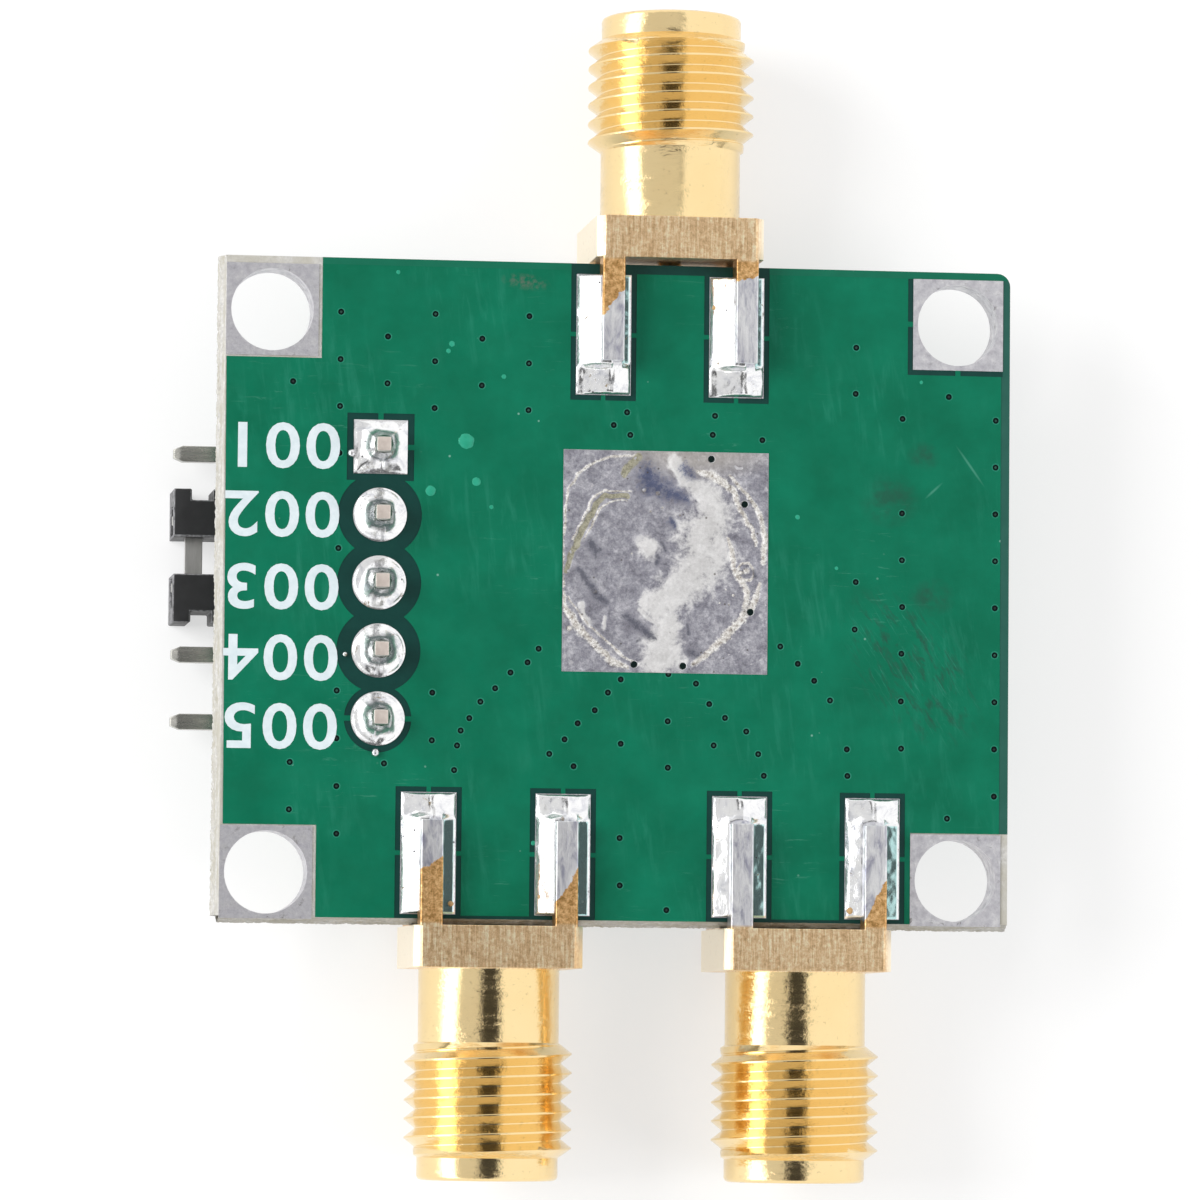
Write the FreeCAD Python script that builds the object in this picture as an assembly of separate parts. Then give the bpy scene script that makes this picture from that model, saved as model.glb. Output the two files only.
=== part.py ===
import FreeCAD, Part
import math
import os

# Radio-frequency switch module: a green board with three edge-launch coaxial jacks.
# Frame: millimetres, origin at the centre of the four mounting holes on the solder-side face,
# +Z out of the solder side, +Y towards the common jack, +X to the right seen from +Z.

V = FreeCAD.Vector

# Board
board_thickness = 1.6
hole_pitch_x = 26.0
hole_pitch_y = 21.0
hole_diameter = 3.1
hole_to_left_edge = 2.0
hole_to_right_edge = 2.0
hole_to_top_edge = 2.0
hole_to_bottom_edge = 1.9
score_run = 0.25
score_depth = 0.5
corner_radius = 0.5

# Tinned copper
foil = 0.05
plating = 0.05
corner_land_side = 3.45
ground_width = 7.78
ground_height = 8.34
ground_x = 1.89
ground_y = 1.31
leg_land_width = 2.08
leg_land_length = 4.55
leg_land_setback = 0.4
signal_land_width = 1.4
signal_land_length = 2.6

# Coaxial jacks, in a local frame: +Y out of the flange, origin on the axis at the flange's back
flange_side = 6.35
flange_thickness = 1.57
flange_edge_radius = 0.3
leg_width = 0.85
leg_pitch = 5.05
leg_length = 3.9
leg_edge_bevel = 0.12
neck_diameter = 5.3
neck_length = 2.77
thread_diameter = 6.3
thread_lead = 0.35
thread_length = 4.3
collar_length = 0.85
collar_bevel = 0.15
mouth_diameter = 4.6
mouth_depth = 1.9
insulator_diameter = 4.1
socket_diameter = 1.27
socket_bore = 0.94
socket_bore_depth = 2.9
socket_slot = 0.16
socket_slot_depth = 2.0
rear_pin_diameter = 0.9
rear_pin_length = 2.4
common_x = 2.0
common_shift = 0.25
common_gap = 0.18
port_1_x = -4.42
port_1_shift = 0.05
port_2_x = 7.3
port_2_shift = -0.02

# Pin header
pin_count = 5
pin_pitch = 2.54
header_x = -8.89
header_y = 0.34
pin_side = 0.6
pin_tail = 1.43
pin_reach = 7.42
pin_bend_radius = 0.6
pin_point_length = 0.35
pin_point_side = 0.34
header_width = 2.5
header_height = 2.54
header_notch = 0.45
eyelet_bore = 1.0
eyelet_land = 2.02

# Jumper cap, pushed on the second and third pins
pins_above_cap_count = 1
cap_length = 6.0
cap_width = 5.05
cap_thickness = 2.5
cap_overhang = 0.02
cap_shift = -0.12
cap_head = 0.67
cap_waist_length = 0.8
cap_waist_cut = 0.42
cap_notch_width = 1.4
cap_notch_depth = 2.2
cap_clearance = 0.03
clip_sheet = 0.2
clip_length = 4.6
clip_setback = 0.47
clip_bridge_width = 0.67

# Switch chip and small parts on the component side; a small part is (length, width, height, end)
chip_side = 4.0
chip_height = 0.85
chip_edge_bevel = 0.08
chip_lands_per_side = 4
chip_land_pitch = 0.65
chip_land_width = 0.3
chip_land_length = 0.55
chip_land_reach = 0.2
chip_paddle = 2.4
small_body = (1.0, 0.5, 0.5, 0.22)
large_body = (1.6, 0.8, 0.8, 0.35)
part_end_skin = 0.03
part_land_toe = 0.15
coupling_distance = 5.9
bypass_x = -3.4
bypass_rows = (3.6, 1.6, -0.4)
resistor_x = -5.9
resistor_rows = (2.6, 0.0)

# Solder
mound_height = 0.7
mound_inset = 0.04
mound_skin = 0.03
mound_nose = 0.12
pin_mound_height = 0.35
joint_height = 0.95
joint_foot = 1.7
joint_neck = 0.86
puddle_radius = 3.5
puddle_height = 0.15
puddle_rim = 0.3
puddle_points = 16
puddle_waves = [(2, 0.16, 2.0), (3, 0.12, 0.6)]  # waves round the rim, their height, their start

# Two places nearer than this are the same
same = 1e-6

# Places worked out from the sizes above
left_edge = -hole_pitch_x / 2 - hole_to_left_edge
right_edge = hole_pitch_x / 2 + hole_to_right_edge
top_edge = hole_pitch_y / 2 + hole_to_top_edge
bottom_edge = -hole_pitch_y / 2 - hole_to_bottom_edge
component_face = -board_thickness
jack_axis_z = component_face - foil - rear_pin_diameter / 2
flange_half = flange_side / 2
header_seat = component_face - foil
pin_row_z = header_seat - header_height - pin_bend_radius
pin_rows = [header_y + pin_pitch * ((pin_count - 1) / 2 - i) for i in range(pin_count)]


def block(x0, x1, y0, y1, z0, z1):
    """A box between two corners."""
    return Part.makeBox(x1 - x0, y1 - y0, z1 - z0, V(x0, y0, z0))


def slab(cx, cy, width, height, z0, z1):
    """A box centred on a point of the board, between two heights."""
    return block(cx - width / 2, cx + width / 2, cy - height / 2, cy + height / 2, z0, z1)


def post(cx, cy, diameter, z0, z1):
    """An upright cylinder between two heights."""
    return Part.makeCylinder(diameter / 2, z1 - z0, V(cx, cy, z0))


def rod(diameter, y0, y1):
    """A cylinder along the local axis of a jack."""
    return Part.makeCylinder(diameter / 2, y1 - y0, V(0, y0, 0), V(0, 1, 0))


def rectangle(x0, x1, y0, y1, z):
    """A closed rectangular wire at one height."""
    corners = [V(x0, y0, z), V(x1, y0, z), V(x1, y1, z), V(x0, y1, z)]
    return Part.makePolygon(corners + corners[:1])


def one(shapes):
    """One solid from pieces that touch or overlap, with the seams between them gone."""
    return shapes[0].fuse(shapes[1:]).removeSplitter()


def export(name, shapes):
    """Write one node: a single solid, or a group of separate solids."""
    solids = [solid for shape in shapes for solid in shape.Solids]
    for solid in solids:
        assert solid.isValid(), name
    result = solids[0] if len(solids) == 1 else Part.makeCompound(solids)
    result.exportStep("parts/" + name + ".step")
    print(name, len(solids), round(sum(solid.Volume for solid in solids), 3))


# The jacks: name, land centre, connector centre, board edge, gap to the flange, outward direction
jacks = [
    ("common", common_x, common_x + common_shift, top_edge, common_gap, 1),
    ("port_1", port_1_x, port_1_x + port_1_shift, bottom_edge, 0.0, -1),
    ("port_2", port_2_x, port_2_x + port_2_shift, bottom_edge, 0.0, -1),
]


def mounting_holes():
    """Centres of the four mounting holes."""
    return [V(sx * hole_pitch_x / 2, sy * hole_pitch_y / 2, 0) for sx in (-1, 1) for sy in (-1, 1)]


def score_groove(start, along, inward):
    """The two bevels that a snapped V-score leaves along one edge, one on each face."""
    grooves = []
    for face_z, step in ((0.0, -score_depth), (component_face, score_depth)):
        base = V(start.x, start.y, face_z)
        outline = [base, base + inward * score_run, base + V(0, 0, step)]
        face = Part.Face(Part.makePolygon(outline + outline[:1]))
        grooves.append(face.extrude(along))
    return grooves


def board():
    """The laminate: snapped left and bottom edges, one routed corner, drilled holes."""
    body = block(left_edge, right_edge, bottom_edge, top_edge, component_face, 0)
    corner = [e for e in body.Edges
              if abs(e.CenterOfMass.x - right_edge) < same and abs(e.CenterOfMass.y - top_edge) < same]
    body = body.makeFillet(corner_radius, corner)
    width = right_edge - left_edge
    height = top_edge - bottom_edge
    cuts = score_groove(V(left_edge, bottom_edge, 0), V(0, height, 0), V(1, 0, 0))
    cuts += score_groove(V(left_edge, bottom_edge, 0), V(width, 0, 0), V(0, 1, 0))
    cuts += [post(p.x, p.y, hole_diameter + 2 * plating, component_face, 0) for p in mounting_holes()]
    cuts += [post(header_x, y, eyelet_bore + 2 * plating, component_face, 0) for y in pin_rows]
    return body.cut(cuts)


def eyelet(x, y, bore, land):
    """A plated hole: a land on each face joined by a thin barrel. land makes one land's blank."""
    upper = land(x, y, 0, foil)
    lower = land(x, y, header_seat, component_face)
    barrel = post(x, y, bore + 2 * plating, component_face, 0)
    return one([upper, barrel, lower]).cut(post(x, y, bore, header_seat, foil))


def square_land(side):
    """Blank of a square land of the given side."""
    return lambda x, y, z0, z1: slab(x, y, side, side, z0, z1)


def round_land(diameter):
    """Blank of a round land of the given diameter."""
    return lambda x, y, z0, z1: post(x, y, diameter, z0, z1)


def leg_land_span(edge, outward):
    """Lowest and highest y of a leg land beside one board edge."""
    outer = edge - outward * leg_land_setback
    inner = outer - outward * leg_land_length
    return min(outer, inner), max(outer, inner)


def leg_lands():
    """Two lands for each jack on each face of the board."""
    lands = []
    for name, land_x, jack_x, edge, gap, outward in jacks:
        y0, y1 = leg_land_span(edge, outward)
        for side in (-1, 1):
            x = land_x + side * leg_pitch / 2
            for z0, z1 in ((0, foil), (header_seat, component_face)):
                lands.append(block(x - leg_land_width / 2, x + leg_land_width / 2, y0, y1, z0, z1))
    return lands


def signal_span(edge, outward):
    """Lowest and highest y of a signal land beside one board edge."""
    outer = edge - outward * leg_land_setback
    inner = outer - outward * signal_land_length
    return min(outer, inner), max(outer, inner)


def signal_lands():
    """The lands under the centre contacts, on the component side."""
    lands = []
    for name, land_x, jack_x, edge, gap, outward in jacks:
        y0, y1 = signal_span(edge, outward)
        lands.append(block(land_x - signal_land_width / 2, land_x + signal_land_width / 2,
                           y0, y1, header_seat, component_face))
    return lands


def place(shape, x, edge, gap, outward):
    """Move a piece from a jack's local frame to its place on the board edge."""
    placed = shape.copy()
    if outward < 0:
        placed.rotate(V(0, 0, 0), V(0, 0, 1), 180)
    placed.translate(V(x, edge + outward * gap, jack_axis_z))
    return placed


mouth_y = flange_thickness + neck_length + thread_length + collar_length
reference_y = mouth_y - mouth_depth


def barrel_profile():
    """Half section of neck, threaded length (plain, with its lead-in bevels), collar and front."""
    neck = neck_diameter / 2
    crest = thread_diameter / 2
    thread_y = flange_thickness + neck_length
    collar_y = thread_y + thread_length
    points = [
        (0, 0),
        (neck, 0),
        (neck, thread_y),
        (crest, thread_y + thread_lead),
        (crest, collar_y - thread_lead),
        (neck, collar_y),
        (neck, mouth_y - collar_bevel),
        (neck - collar_bevel, mouth_y),
        (0, mouth_y),
    ]
    return [V(radius, y, 0) for radius, y in points]


def jack_bar(half_width, y0, y1):
    """A bar along the axis of a jack, as high as the flange, and its four long edges."""
    bar = block(-half_width, half_width, y0, y1, -flange_half, flange_half)
    long_edges = [e for e in bar.Edges if abs(e.tangentAt(e.FirstParameter).y) > 0.9]
    return bar, long_edges


def jack_body():
    """One turned and milled piece: square flange with four legs, then neck, thread and collar."""
    flange, flange_edges = jack_bar(flange_half, 0, flange_thickness)
    flange = flange.makeFillet(flange_edge_radius, flange_edges)
    inner = leg_pitch / 2 - leg_width / 2
    outer = leg_pitch / 2 + leg_width / 2
    legs, leg_edges = jack_bar(outer, -leg_length, 0)
    slot_low = header_seat - jack_axis_z
    slot_high = foil - jack_axis_z
    legs = legs.makeChamfer(leg_edge_bevel, leg_edges).cut([
        block(-inner, inner, -leg_length, 0, -flange_half, flange_half),
        block(-outer, outer, -leg_length, 0, slot_low, slot_high),
    ])
    outline = barrel_profile()
    half_section = Part.Face(Part.makePolygon(outline + outline[:1]))
    barrel = half_section.revolve(V(0, 0, 0), V(0, 1, 0), 360)
    body = one([flange, legs, barrel])
    return body.cut([rod(insulator_diameter, 0, reference_y), rod(mouth_diameter, reference_y, mouth_y)])


def jack_insulator():
    """Fluoropolymer bush, flush with the flange's back and with the reference plane."""
    return rod(insulator_diameter, 0, reference_y).cut(rod(socket_diameter, 0, reference_y))


def jack_contact():
    """Centre contact: slotted socket in front, round pin behind that lies on the board."""
    body = rod(socket_diameter, 0, reference_y)
    body = one([body, rod(rear_pin_diameter, -rear_pin_length, 0)])
    half = socket_slot / 2
    slot_start = reference_y - socket_slot_depth
    reach = socket_diameter
    cuts = [
        rod(socket_bore, reference_y - socket_bore_depth, reference_y),
        block(-half, half, slot_start, reference_y, -reach, reach),
        block(-reach, reach, slot_start, reference_y, -half, half),
    ]
    return body.cut(cuts)


def leg_mound(land_x, jack_x, side, edge, gap, outward, upper):
    """Solder round one leg: a low mound from the land's rim up to the leg's sides and tip."""
    y0, y1 = leg_land_span(edge, outward)
    x = land_x + side * leg_pitch / 2
    half = leg_land_width / 2 - mound_inset
    leg_x = jack_x + side * leg_pitch / 2
    leg_half = leg_width / 2
    tip = edge + outward * gap - outward * leg_length
    nose = tip - outward * mound_nose
    land_outer = edge - outward * (leg_land_setback + mound_inset)
    z0, z1 = (foil, foil + mound_height) if upper else (header_seat, header_seat - mound_height)
    foot = rectangle(x - half, x + half, y0 + mound_inset, y1 - mound_inset, z0)
    shoulder = land_outer - outward * mound_nose
    head = rectangle(leg_x - leg_half - mound_skin, leg_x + leg_half + mound_skin,
                     min(nose, shoulder), max(nose, shoulder), z1)
    mound = Part.makeLoft([foot, head], True, True)
    leg = block(leg_x - leg_half, leg_x + leg_half, min(tip, edge), max(tip, edge),
                min(z0, z1), max(z0, z1))
    return mound.cut(leg)


def pin_mound(land_x, jack_x, edge, gap, outward):
    """Solder along both sides of a centre pin, on the component side."""
    y0, y1 = signal_span(edge, outward)
    half = signal_land_width / 2 - mound_inset
    z0 = header_seat
    z1 = header_seat - pin_mound_height
    foot = rectangle(land_x - half, land_x + half, y0 + mound_inset, y1 - mound_inset, z0)
    rim = rear_pin_diameter / 2 + mound_skin
    head = rectangle(jack_x - rim, jack_x + rim, y0 + mound_nose, y1 - mound_nose, z1)
    mound = Part.makeLoft([foot, head], True, True)
    reach = leg_land_length
    pin = rod(rear_pin_diameter, -reach, reach)
    return mound.cut(place(pin, jack_x, edge, gap, outward))


def jack_solder(land_x, jack_x, edge, gap, outward):
    """All the solder of one jack: four legs and the centre pin."""
    mounds = [leg_mound(land_x, jack_x, side, edge, gap, outward, upper)
              for side in (-1, 1) for upper in (True, False)]
    return mounds + [pin_mound(land_x, jack_x, edge, gap, outward)]


def header_housing():
    """Moulded strip on the component face: one chamfered block for each pin, side by side."""
    half = header_width / 2
    half_pitch = pin_pitch / 2
    z0 = header_seat - header_height
    blocks = []
    for y in pin_rows:
        outline = [
            V(header_x - half, y - half_pitch + header_notch, z0),
            V(header_x - half, y + half_pitch - header_notch, z0),
            V(header_x - half + header_notch, y + half_pitch, z0),
            V(header_x + half - header_notch, y + half_pitch, z0),
            V(header_x + half, y + half_pitch - header_notch, z0),
            V(header_x + half, y - half_pitch + header_notch, z0),
            V(header_x + half - header_notch, y - half_pitch, z0),
            V(header_x - half + header_notch, y - half_pitch, z0),
        ]
        face = Part.Face(Part.makePolygon(outline + outline[:1]))
        blocks.append(face.extrude(V(0, 0, header_height)))
    holes = [slab(header_x, y, pin_side, pin_side, z0, header_seat) for y in pin_rows]
    return one(blocks).cut(holes)


def pin_point(centre, along):
    """The tapered end of a pin: a short pyramid cut flat."""
    aside = V(0, 1, 0)
    across = along.cross(aside)
    wires = []
    for distance, side in ((0, pin_side), (pin_point_length, pin_point_side)):
        middle = centre + along * distance
        half = side / 2
        turns = ((-1, -1), (1, -1), (1, 1), (-1, 1))
        corners = [middle + aside * half * a + across * half * b for a, b in turns]
        wires.append(Part.makePolygon(corners + corners[:1]))
    return Part.makeLoft(wires, True, True)


def header_pin(y):
    """Square pin: up through the board, down through the strip, then bent towards the edge."""
    half = pin_side / 2
    bend_z = header_seat - header_height
    tail_top = pin_tail - pin_point_length
    reach_x = header_x - pin_reach + pin_point_length
    upright = slab(header_x, y, pin_side, pin_side, bend_z, tail_top)
    bend_x = header_x - pin_bend_radius
    section = Part.Face(Part.makePolygon([
        V(header_x - half, y - half, bend_z), V(header_x + half, y - half, bend_z),
        V(header_x + half, y + half, bend_z), V(header_x - half, y + half, bend_z),
        V(header_x - half, y - half, bend_z),
    ]))
    bend = section.revolve(V(bend_x, y, bend_z), V(0, 1, 0), 90)
    level = block(reach_x, bend_x, y - half, y + half, pin_row_z - half, pin_row_z + half)
    top_point = pin_point(V(header_x, y, tail_top), V(0, 0, 1))
    end_point = pin_point(V(reach_x, y, pin_row_z), V(-1, 0, 0))
    return one([upright, bend, level, top_point, end_point])


def pin_joint(y):
    """Solder of one pin: a cone on the land and the plug that fills the plated hole."""
    cone = Part.makeCone(joint_foot / 2, joint_neck / 2, joint_height, V(header_x, y, foil))
    plug = post(header_x, y, eyelet_bore, header_seat, foil)
    return one([cone, plug]).cut(slab(header_x, y, pin_side, pin_side, header_seat, pin_tail))


cap_tip_x = header_x - pin_reach - cap_overhang
cap_root_x = cap_tip_x + cap_length
cap_pin_rows = pin_rows[pins_above_cap_count:][:2]
cap_y = sum(cap_pin_rows) / 2 + cap_shift


def cap_pockets():
    """The two passages for clip and pins, and the window between them for the clip's strip."""
    near = (pin_pitch - pin_side) / 2 - abs(cap_shift) - cap_clearance
    far = (pin_pitch + pin_side) / 2 + clip_sheet + abs(cap_shift) + cap_clearance
    high = pin_side / 2 + clip_sheet + cap_clearance
    low_z = pin_row_z - high
    high_z = pin_row_z + high
    window_x = cap_tip_x + clip_setback - cap_clearance
    window_end = cap_tip_x + clip_setback + clip_bridge_width + cap_clearance
    window_z = pin_row_z + pin_side / 2 - cap_clearance
    return [
        block(cap_tip_x, cap_root_x, cap_y + near, cap_y + far, low_z, high_z),
        block(cap_tip_x, cap_root_x, cap_y - far, cap_y - near, low_z, high_z),
        block(window_x, window_end, cap_y - near, cap_y + near, window_z, high_z),
    ]


def jumper_housing():
    """Moulded cap: two heads at the tip with a gap between them, a waist to grip, two passages."""
    half = cap_width / 2
    high = cap_thickness / 2
    low_z = pin_row_z - high
    high_z = pin_row_z + high
    body = block(cap_tip_x, cap_root_x, cap_y - half, cap_y + half, low_z, high_z)
    waist_x = cap_tip_x + cap_head
    waist_end = waist_x + cap_waist_length
    notch = cap_notch_width / 2
    cuts = [
        block(waist_x, waist_end, cap_y - half, cap_y - half + cap_waist_cut, low_z, high_z),
        block(waist_x, waist_end, cap_y + half - cap_waist_cut, cap_y + half, low_z, high_z),
        block(cap_tip_x, cap_tip_x + cap_notch_depth, cap_y - notch, cap_y + notch, low_z, high_z),
    ]
    return body.cut(cuts + cap_pockets())


def jumper_contact():
    """Folded clip: two leaves on each of the two pins, a side wall each, one strip between them."""
    start = cap_tip_x + clip_setback
    end = start + clip_length
    half = pin_side / 2
    upper_y, lower_y = cap_pin_rows
    inner = pin_row_z + half
    outer = inner + clip_sheet
    base = pin_row_z - half - clip_sheet
    channel_high = block(start, end, upper_y - half, upper_y + half + clip_sheet, base, outer)
    channel_low = block(start, end, lower_y - half - clip_sheet, lower_y + half, base, outer)
    pins = [block(start, end, y - half, y + half, pin_row_z - half, inner) for y in (upper_y, lower_y)]
    strip = block(start, start + clip_bridge_width, lower_y, upper_y, inner, outer)
    return one([channel_high.cut(pins[0]), channel_low.cut(pins[1]), strip])


def chip_lands():
    """Lands of the switch chip: a row on each side and a paddle in the middle."""
    lands = [slab(ground_x, ground_y, chip_paddle, chip_paddle, header_seat, component_face)]
    ring = chip_side / 2 + chip_land_reach - chip_land_length / 2
    for i in range(chip_lands_per_side):
        offset = chip_land_pitch * (i - (chip_lands_per_side - 1) / 2)
        for side in (-1, 1):
            lands.append(slab(ground_x + side * ring, ground_y + offset, chip_land_length, chip_land_width,
                              header_seat, component_face))
            lands.append(slab(ground_x + offset, ground_y + side * ring, chip_land_width, chip_land_length,
                              header_seat, component_face))
    return lands


def switch_chip():
    """The switch in its square leadless package, with bevelled edges on the far face."""
    half = chip_side / 2
    body = block(ground_x - half, ground_x + half, ground_y - half, ground_y + half,
                 header_seat - chip_height, header_seat)
    far = [e for e in body.Edges if abs(e.CenterOfMass.z - header_seat + chip_height) < same]
    return body.makeChamfer(chip_edge_bevel, far)


def small_part(x, y, size, turned):
    """Chip capacitor or resistor: a ceramic block with slightly thicker tinned ends."""
    length, width, height, end = size
    low_z = header_seat - height
    middle = slab(0, 0, length - 2 * end, width - 2 * part_end_skin,
                  low_z + part_end_skin, header_seat - part_end_skin)
    ends = [slab(side * (length - end) / 2, 0, end, width, low_z, header_seat) for side in (-1, 1)]
    part = one([middle] + ends)
    if turned:
        part.rotate(V(0, 0, 0), V(0, 0, 1), 90)
    part.translate(V(x, y, 0))
    return part


def small_part_lands(x, y, size, turned):
    """The two lands under a small part: under its ends, and a toe past each end."""
    length, width, height, end = size
    lands = []
    for side in (-1, 1):
        centre = side * (length - end + part_land_toe) / 2
        land = slab(centre, 0, end + part_land_toe, width, header_seat, component_face)
        if turned:
            land.rotate(V(0, 0, 0), V(0, 0, 1), 90)
        land.translate(V(x, y, 0))
        lands.append(land)
    return lands


def puddle():
    """Spilled solder on the ground pad: a low uneven disc."""
    def ring(shrink, z):
        points = []
        for i in range(puddle_points):
            angle = 2 * math.pi * i / puddle_points
            radius = puddle_radius - shrink
            radius += sum(height * math.cos(waves * angle + start) for waves, height, start in puddle_waves)
            points.append(V(ground_x + radius * math.cos(angle), ground_y + radius * math.sin(angle), z))
        curve = Part.BSplineCurve()
        curve.interpolate(points, PeriodicFlag=True)
        return Part.Wire(curve.toShape())
    return Part.makeLoft([ring(0, foil), ring(puddle_rim, foil + puddle_height)], True, True)


export("board", [board()])
corner_land = square_land(corner_land_side)
export("corner_plating", [eyelet(p.x, p.y, hole_diameter, corner_land) for p in mounting_holes()])
export("ground_pad", [slab(ground_x, ground_y, ground_width, ground_height, 0, foil)])
export("leg_lands", leg_lands())
export("signal_lands", signal_lands())
pin_lands = [square_land(eyelet_land)] + [round_land(eyelet_land)] * (pin_count - 1)
export("header_eyelets", [eyelet(header_x, y, eyelet_bore, land) for y, land in zip(pin_rows, pin_lands)])

for name, land_x, jack_x, edge, gap, outward in jacks:
    export(name + "_body", [place(jack_body(), jack_x, edge, gap, outward)])
    export(name + "_insulator", [place(jack_insulator(), jack_x, edge, gap, outward)])
    export(name + "_contact", [place(jack_contact(), jack_x, edge, gap, outward)])
    export(name + "_solder", jack_solder(land_x, jack_x, edge, gap, outward))

export("header_housing", [header_housing()])
for i, y in enumerate(pin_rows):
    export("header_pin_" + str(i + 1), [header_pin(y)])
export("header_solder", [pin_joint(y) for y in pin_rows])
export("jumper_housing", [jumper_housing()])
export("jumper_contact", [jumper_contact()])

export("switch_chip", [switch_chip()])
export("chip_lands", chip_lands())

# Small parts: name, place, size, and whether the length runs along Y
small_parts = []
for name, land_x, jack_x, edge, gap, outward in jacks:
    y = edge - outward * coupling_distance
    small_parts.append((name + "_coupling_capacitor", land_x, y, small_body, True))
for i, y in enumerate(bypass_rows):
    small_parts.append(("bypass_capacitor_" + str(i + 1), bypass_x, y, large_body, False))
for i, y in enumerate(resistor_rows):
    small_parts.append(("resistor_" + str(i + 1), resistor_x, y, large_body, True))
lands = []
for name, x, y, size, turned in small_parts:
    export(name, [small_part(x, y, size, turned)])
    lands += small_part_lands(x, y, size, turned)
export("small_part_lands", lands)
export("ground_solder", [puddle()])
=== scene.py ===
import bpy
import math
from mathutils import Matrix, Vector, noise


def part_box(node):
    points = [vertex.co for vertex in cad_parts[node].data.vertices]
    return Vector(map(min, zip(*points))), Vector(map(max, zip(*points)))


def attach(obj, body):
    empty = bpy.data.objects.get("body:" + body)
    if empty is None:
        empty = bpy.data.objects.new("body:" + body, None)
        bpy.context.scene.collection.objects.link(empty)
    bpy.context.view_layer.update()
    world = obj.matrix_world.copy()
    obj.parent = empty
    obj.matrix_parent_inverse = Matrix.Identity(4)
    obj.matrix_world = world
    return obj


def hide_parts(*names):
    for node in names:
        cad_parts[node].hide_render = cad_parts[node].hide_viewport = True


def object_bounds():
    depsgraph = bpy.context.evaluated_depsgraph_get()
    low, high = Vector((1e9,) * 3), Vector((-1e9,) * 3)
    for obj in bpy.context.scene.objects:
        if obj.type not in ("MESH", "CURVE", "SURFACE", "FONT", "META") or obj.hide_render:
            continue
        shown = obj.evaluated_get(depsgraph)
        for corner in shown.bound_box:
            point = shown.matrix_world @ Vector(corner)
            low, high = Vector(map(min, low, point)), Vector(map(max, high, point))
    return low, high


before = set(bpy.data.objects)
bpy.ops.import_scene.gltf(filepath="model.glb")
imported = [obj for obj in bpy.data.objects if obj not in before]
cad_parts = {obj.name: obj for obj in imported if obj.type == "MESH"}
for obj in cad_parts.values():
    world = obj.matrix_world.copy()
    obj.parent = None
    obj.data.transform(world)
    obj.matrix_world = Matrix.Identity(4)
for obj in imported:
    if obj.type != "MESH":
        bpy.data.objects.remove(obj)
cad_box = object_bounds()

# The view: a long lens looks down on the solder side from a little to the left and below.
# A white sweep lies under the module, soft lamps stand left and right, and a grey reflector hangs
# over the camera, which the metal mirrors.
mm = 0.001
bpy.context.scene.view_settings.view_transform = "Standard"
camera_place = Vector((-33.95, -17.56, 250.46)) * mm
camera_forward = Vector((0.1318, 0.0687, -0.9889)).normalized()
camera_up = Vector((-0.0182, 0.9976, 0.0668)).normalized()
camera_right = camera_forward.cross(camera_up).normalized()
camera_up = camera_right.cross(camera_forward)
bpy.ops.object.camera_add(location=camera_place)
camera = bpy.context.object
camera.matrix_world = Matrix.Translation(camera_place) @ Matrix(
    (camera_right, camera_up, -camera_forward)).transposed().to_4x4()
camera.data.lens = 202.8
camera.data.sensor_width = 36.0
camera.data.clip_start = 0.01
camera.data.clip_end = 10.0
bpy.context.scene.camera = camera

# The white tent: bright to the camera and in reflections, dimmer as a light
world = bpy.data.worlds.new("light_tent")
bpy.context.scene.world = world
world.use_nodes = True
tent = world.node_tree


def either(first, second):
    """1 where one of two kinds of ray passes."""
    node = tent.nodes.new("ShaderNodeMath")
    node.use_clamp = True
    tent.links.new(first, node.inputs[0])
    tent.links.new(second, node.inputs[1])
    return node.outputs[0]


rays = tent.nodes.new("ShaderNodeLightPath").outputs
seen = either(either(rays["Is Camera Ray"], rays["Is Glossy Ray"]), rays["Is Transmission Ray"])
tent_strength = tent.nodes.new("ShaderNodeMapRange")
tent_strength.inputs["To Min"].default_value = 0.55
tent_strength.inputs["To Max"].default_value = 1.12
tent.links.new(seen, tent_strength.inputs["Value"])
tent.links.new(tent_strength.outputs[0], tent.nodes["Background"].inputs["Strength"])
tent.nodes["Background"].inputs["Color"].default_value = (1.0, 1.0, 1.0, 1.0)


def soft_lamp(name, place, size, power):
    """A square soft box that points at the module."""
    bpy.ops.object.light_add(type="AREA", location=place)
    lamp = bpy.context.object
    lamp.name = name
    lamp.data.size = size
    lamp.data.energy = power
    lamp.rotation_euler = (-Vector(place)).to_track_quat("-Z", "Y").to_euler()
    lamp.visible_glossy = False


soft_lamp("lamp_left", (-0.42, 0.10, 0.30), 0.30, 2.6)
soft_lamp("lamp_right", (0.40, -0.12, 0.34), 0.26, 1.0)


def glowing(name, shade, gloss, glow, strength):
    """A dull grey material with its own light."""
    paint = bpy.data.materials.new(name)
    paint.use_nodes = True
    inputs = paint.node_tree.nodes["Principled BSDF"].inputs
    inputs["Base Color"].default_value = (shade, shade, shade, 1.0)
    inputs["Roughness"].default_value = 0.9
    inputs["Specular IOR Level"].default_value = gloss
    inputs["Emission Color"].default_value = (glow, glow, glow, 1.0)
    inputs["Emission Strength"].default_value = strength
    return paint


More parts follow.
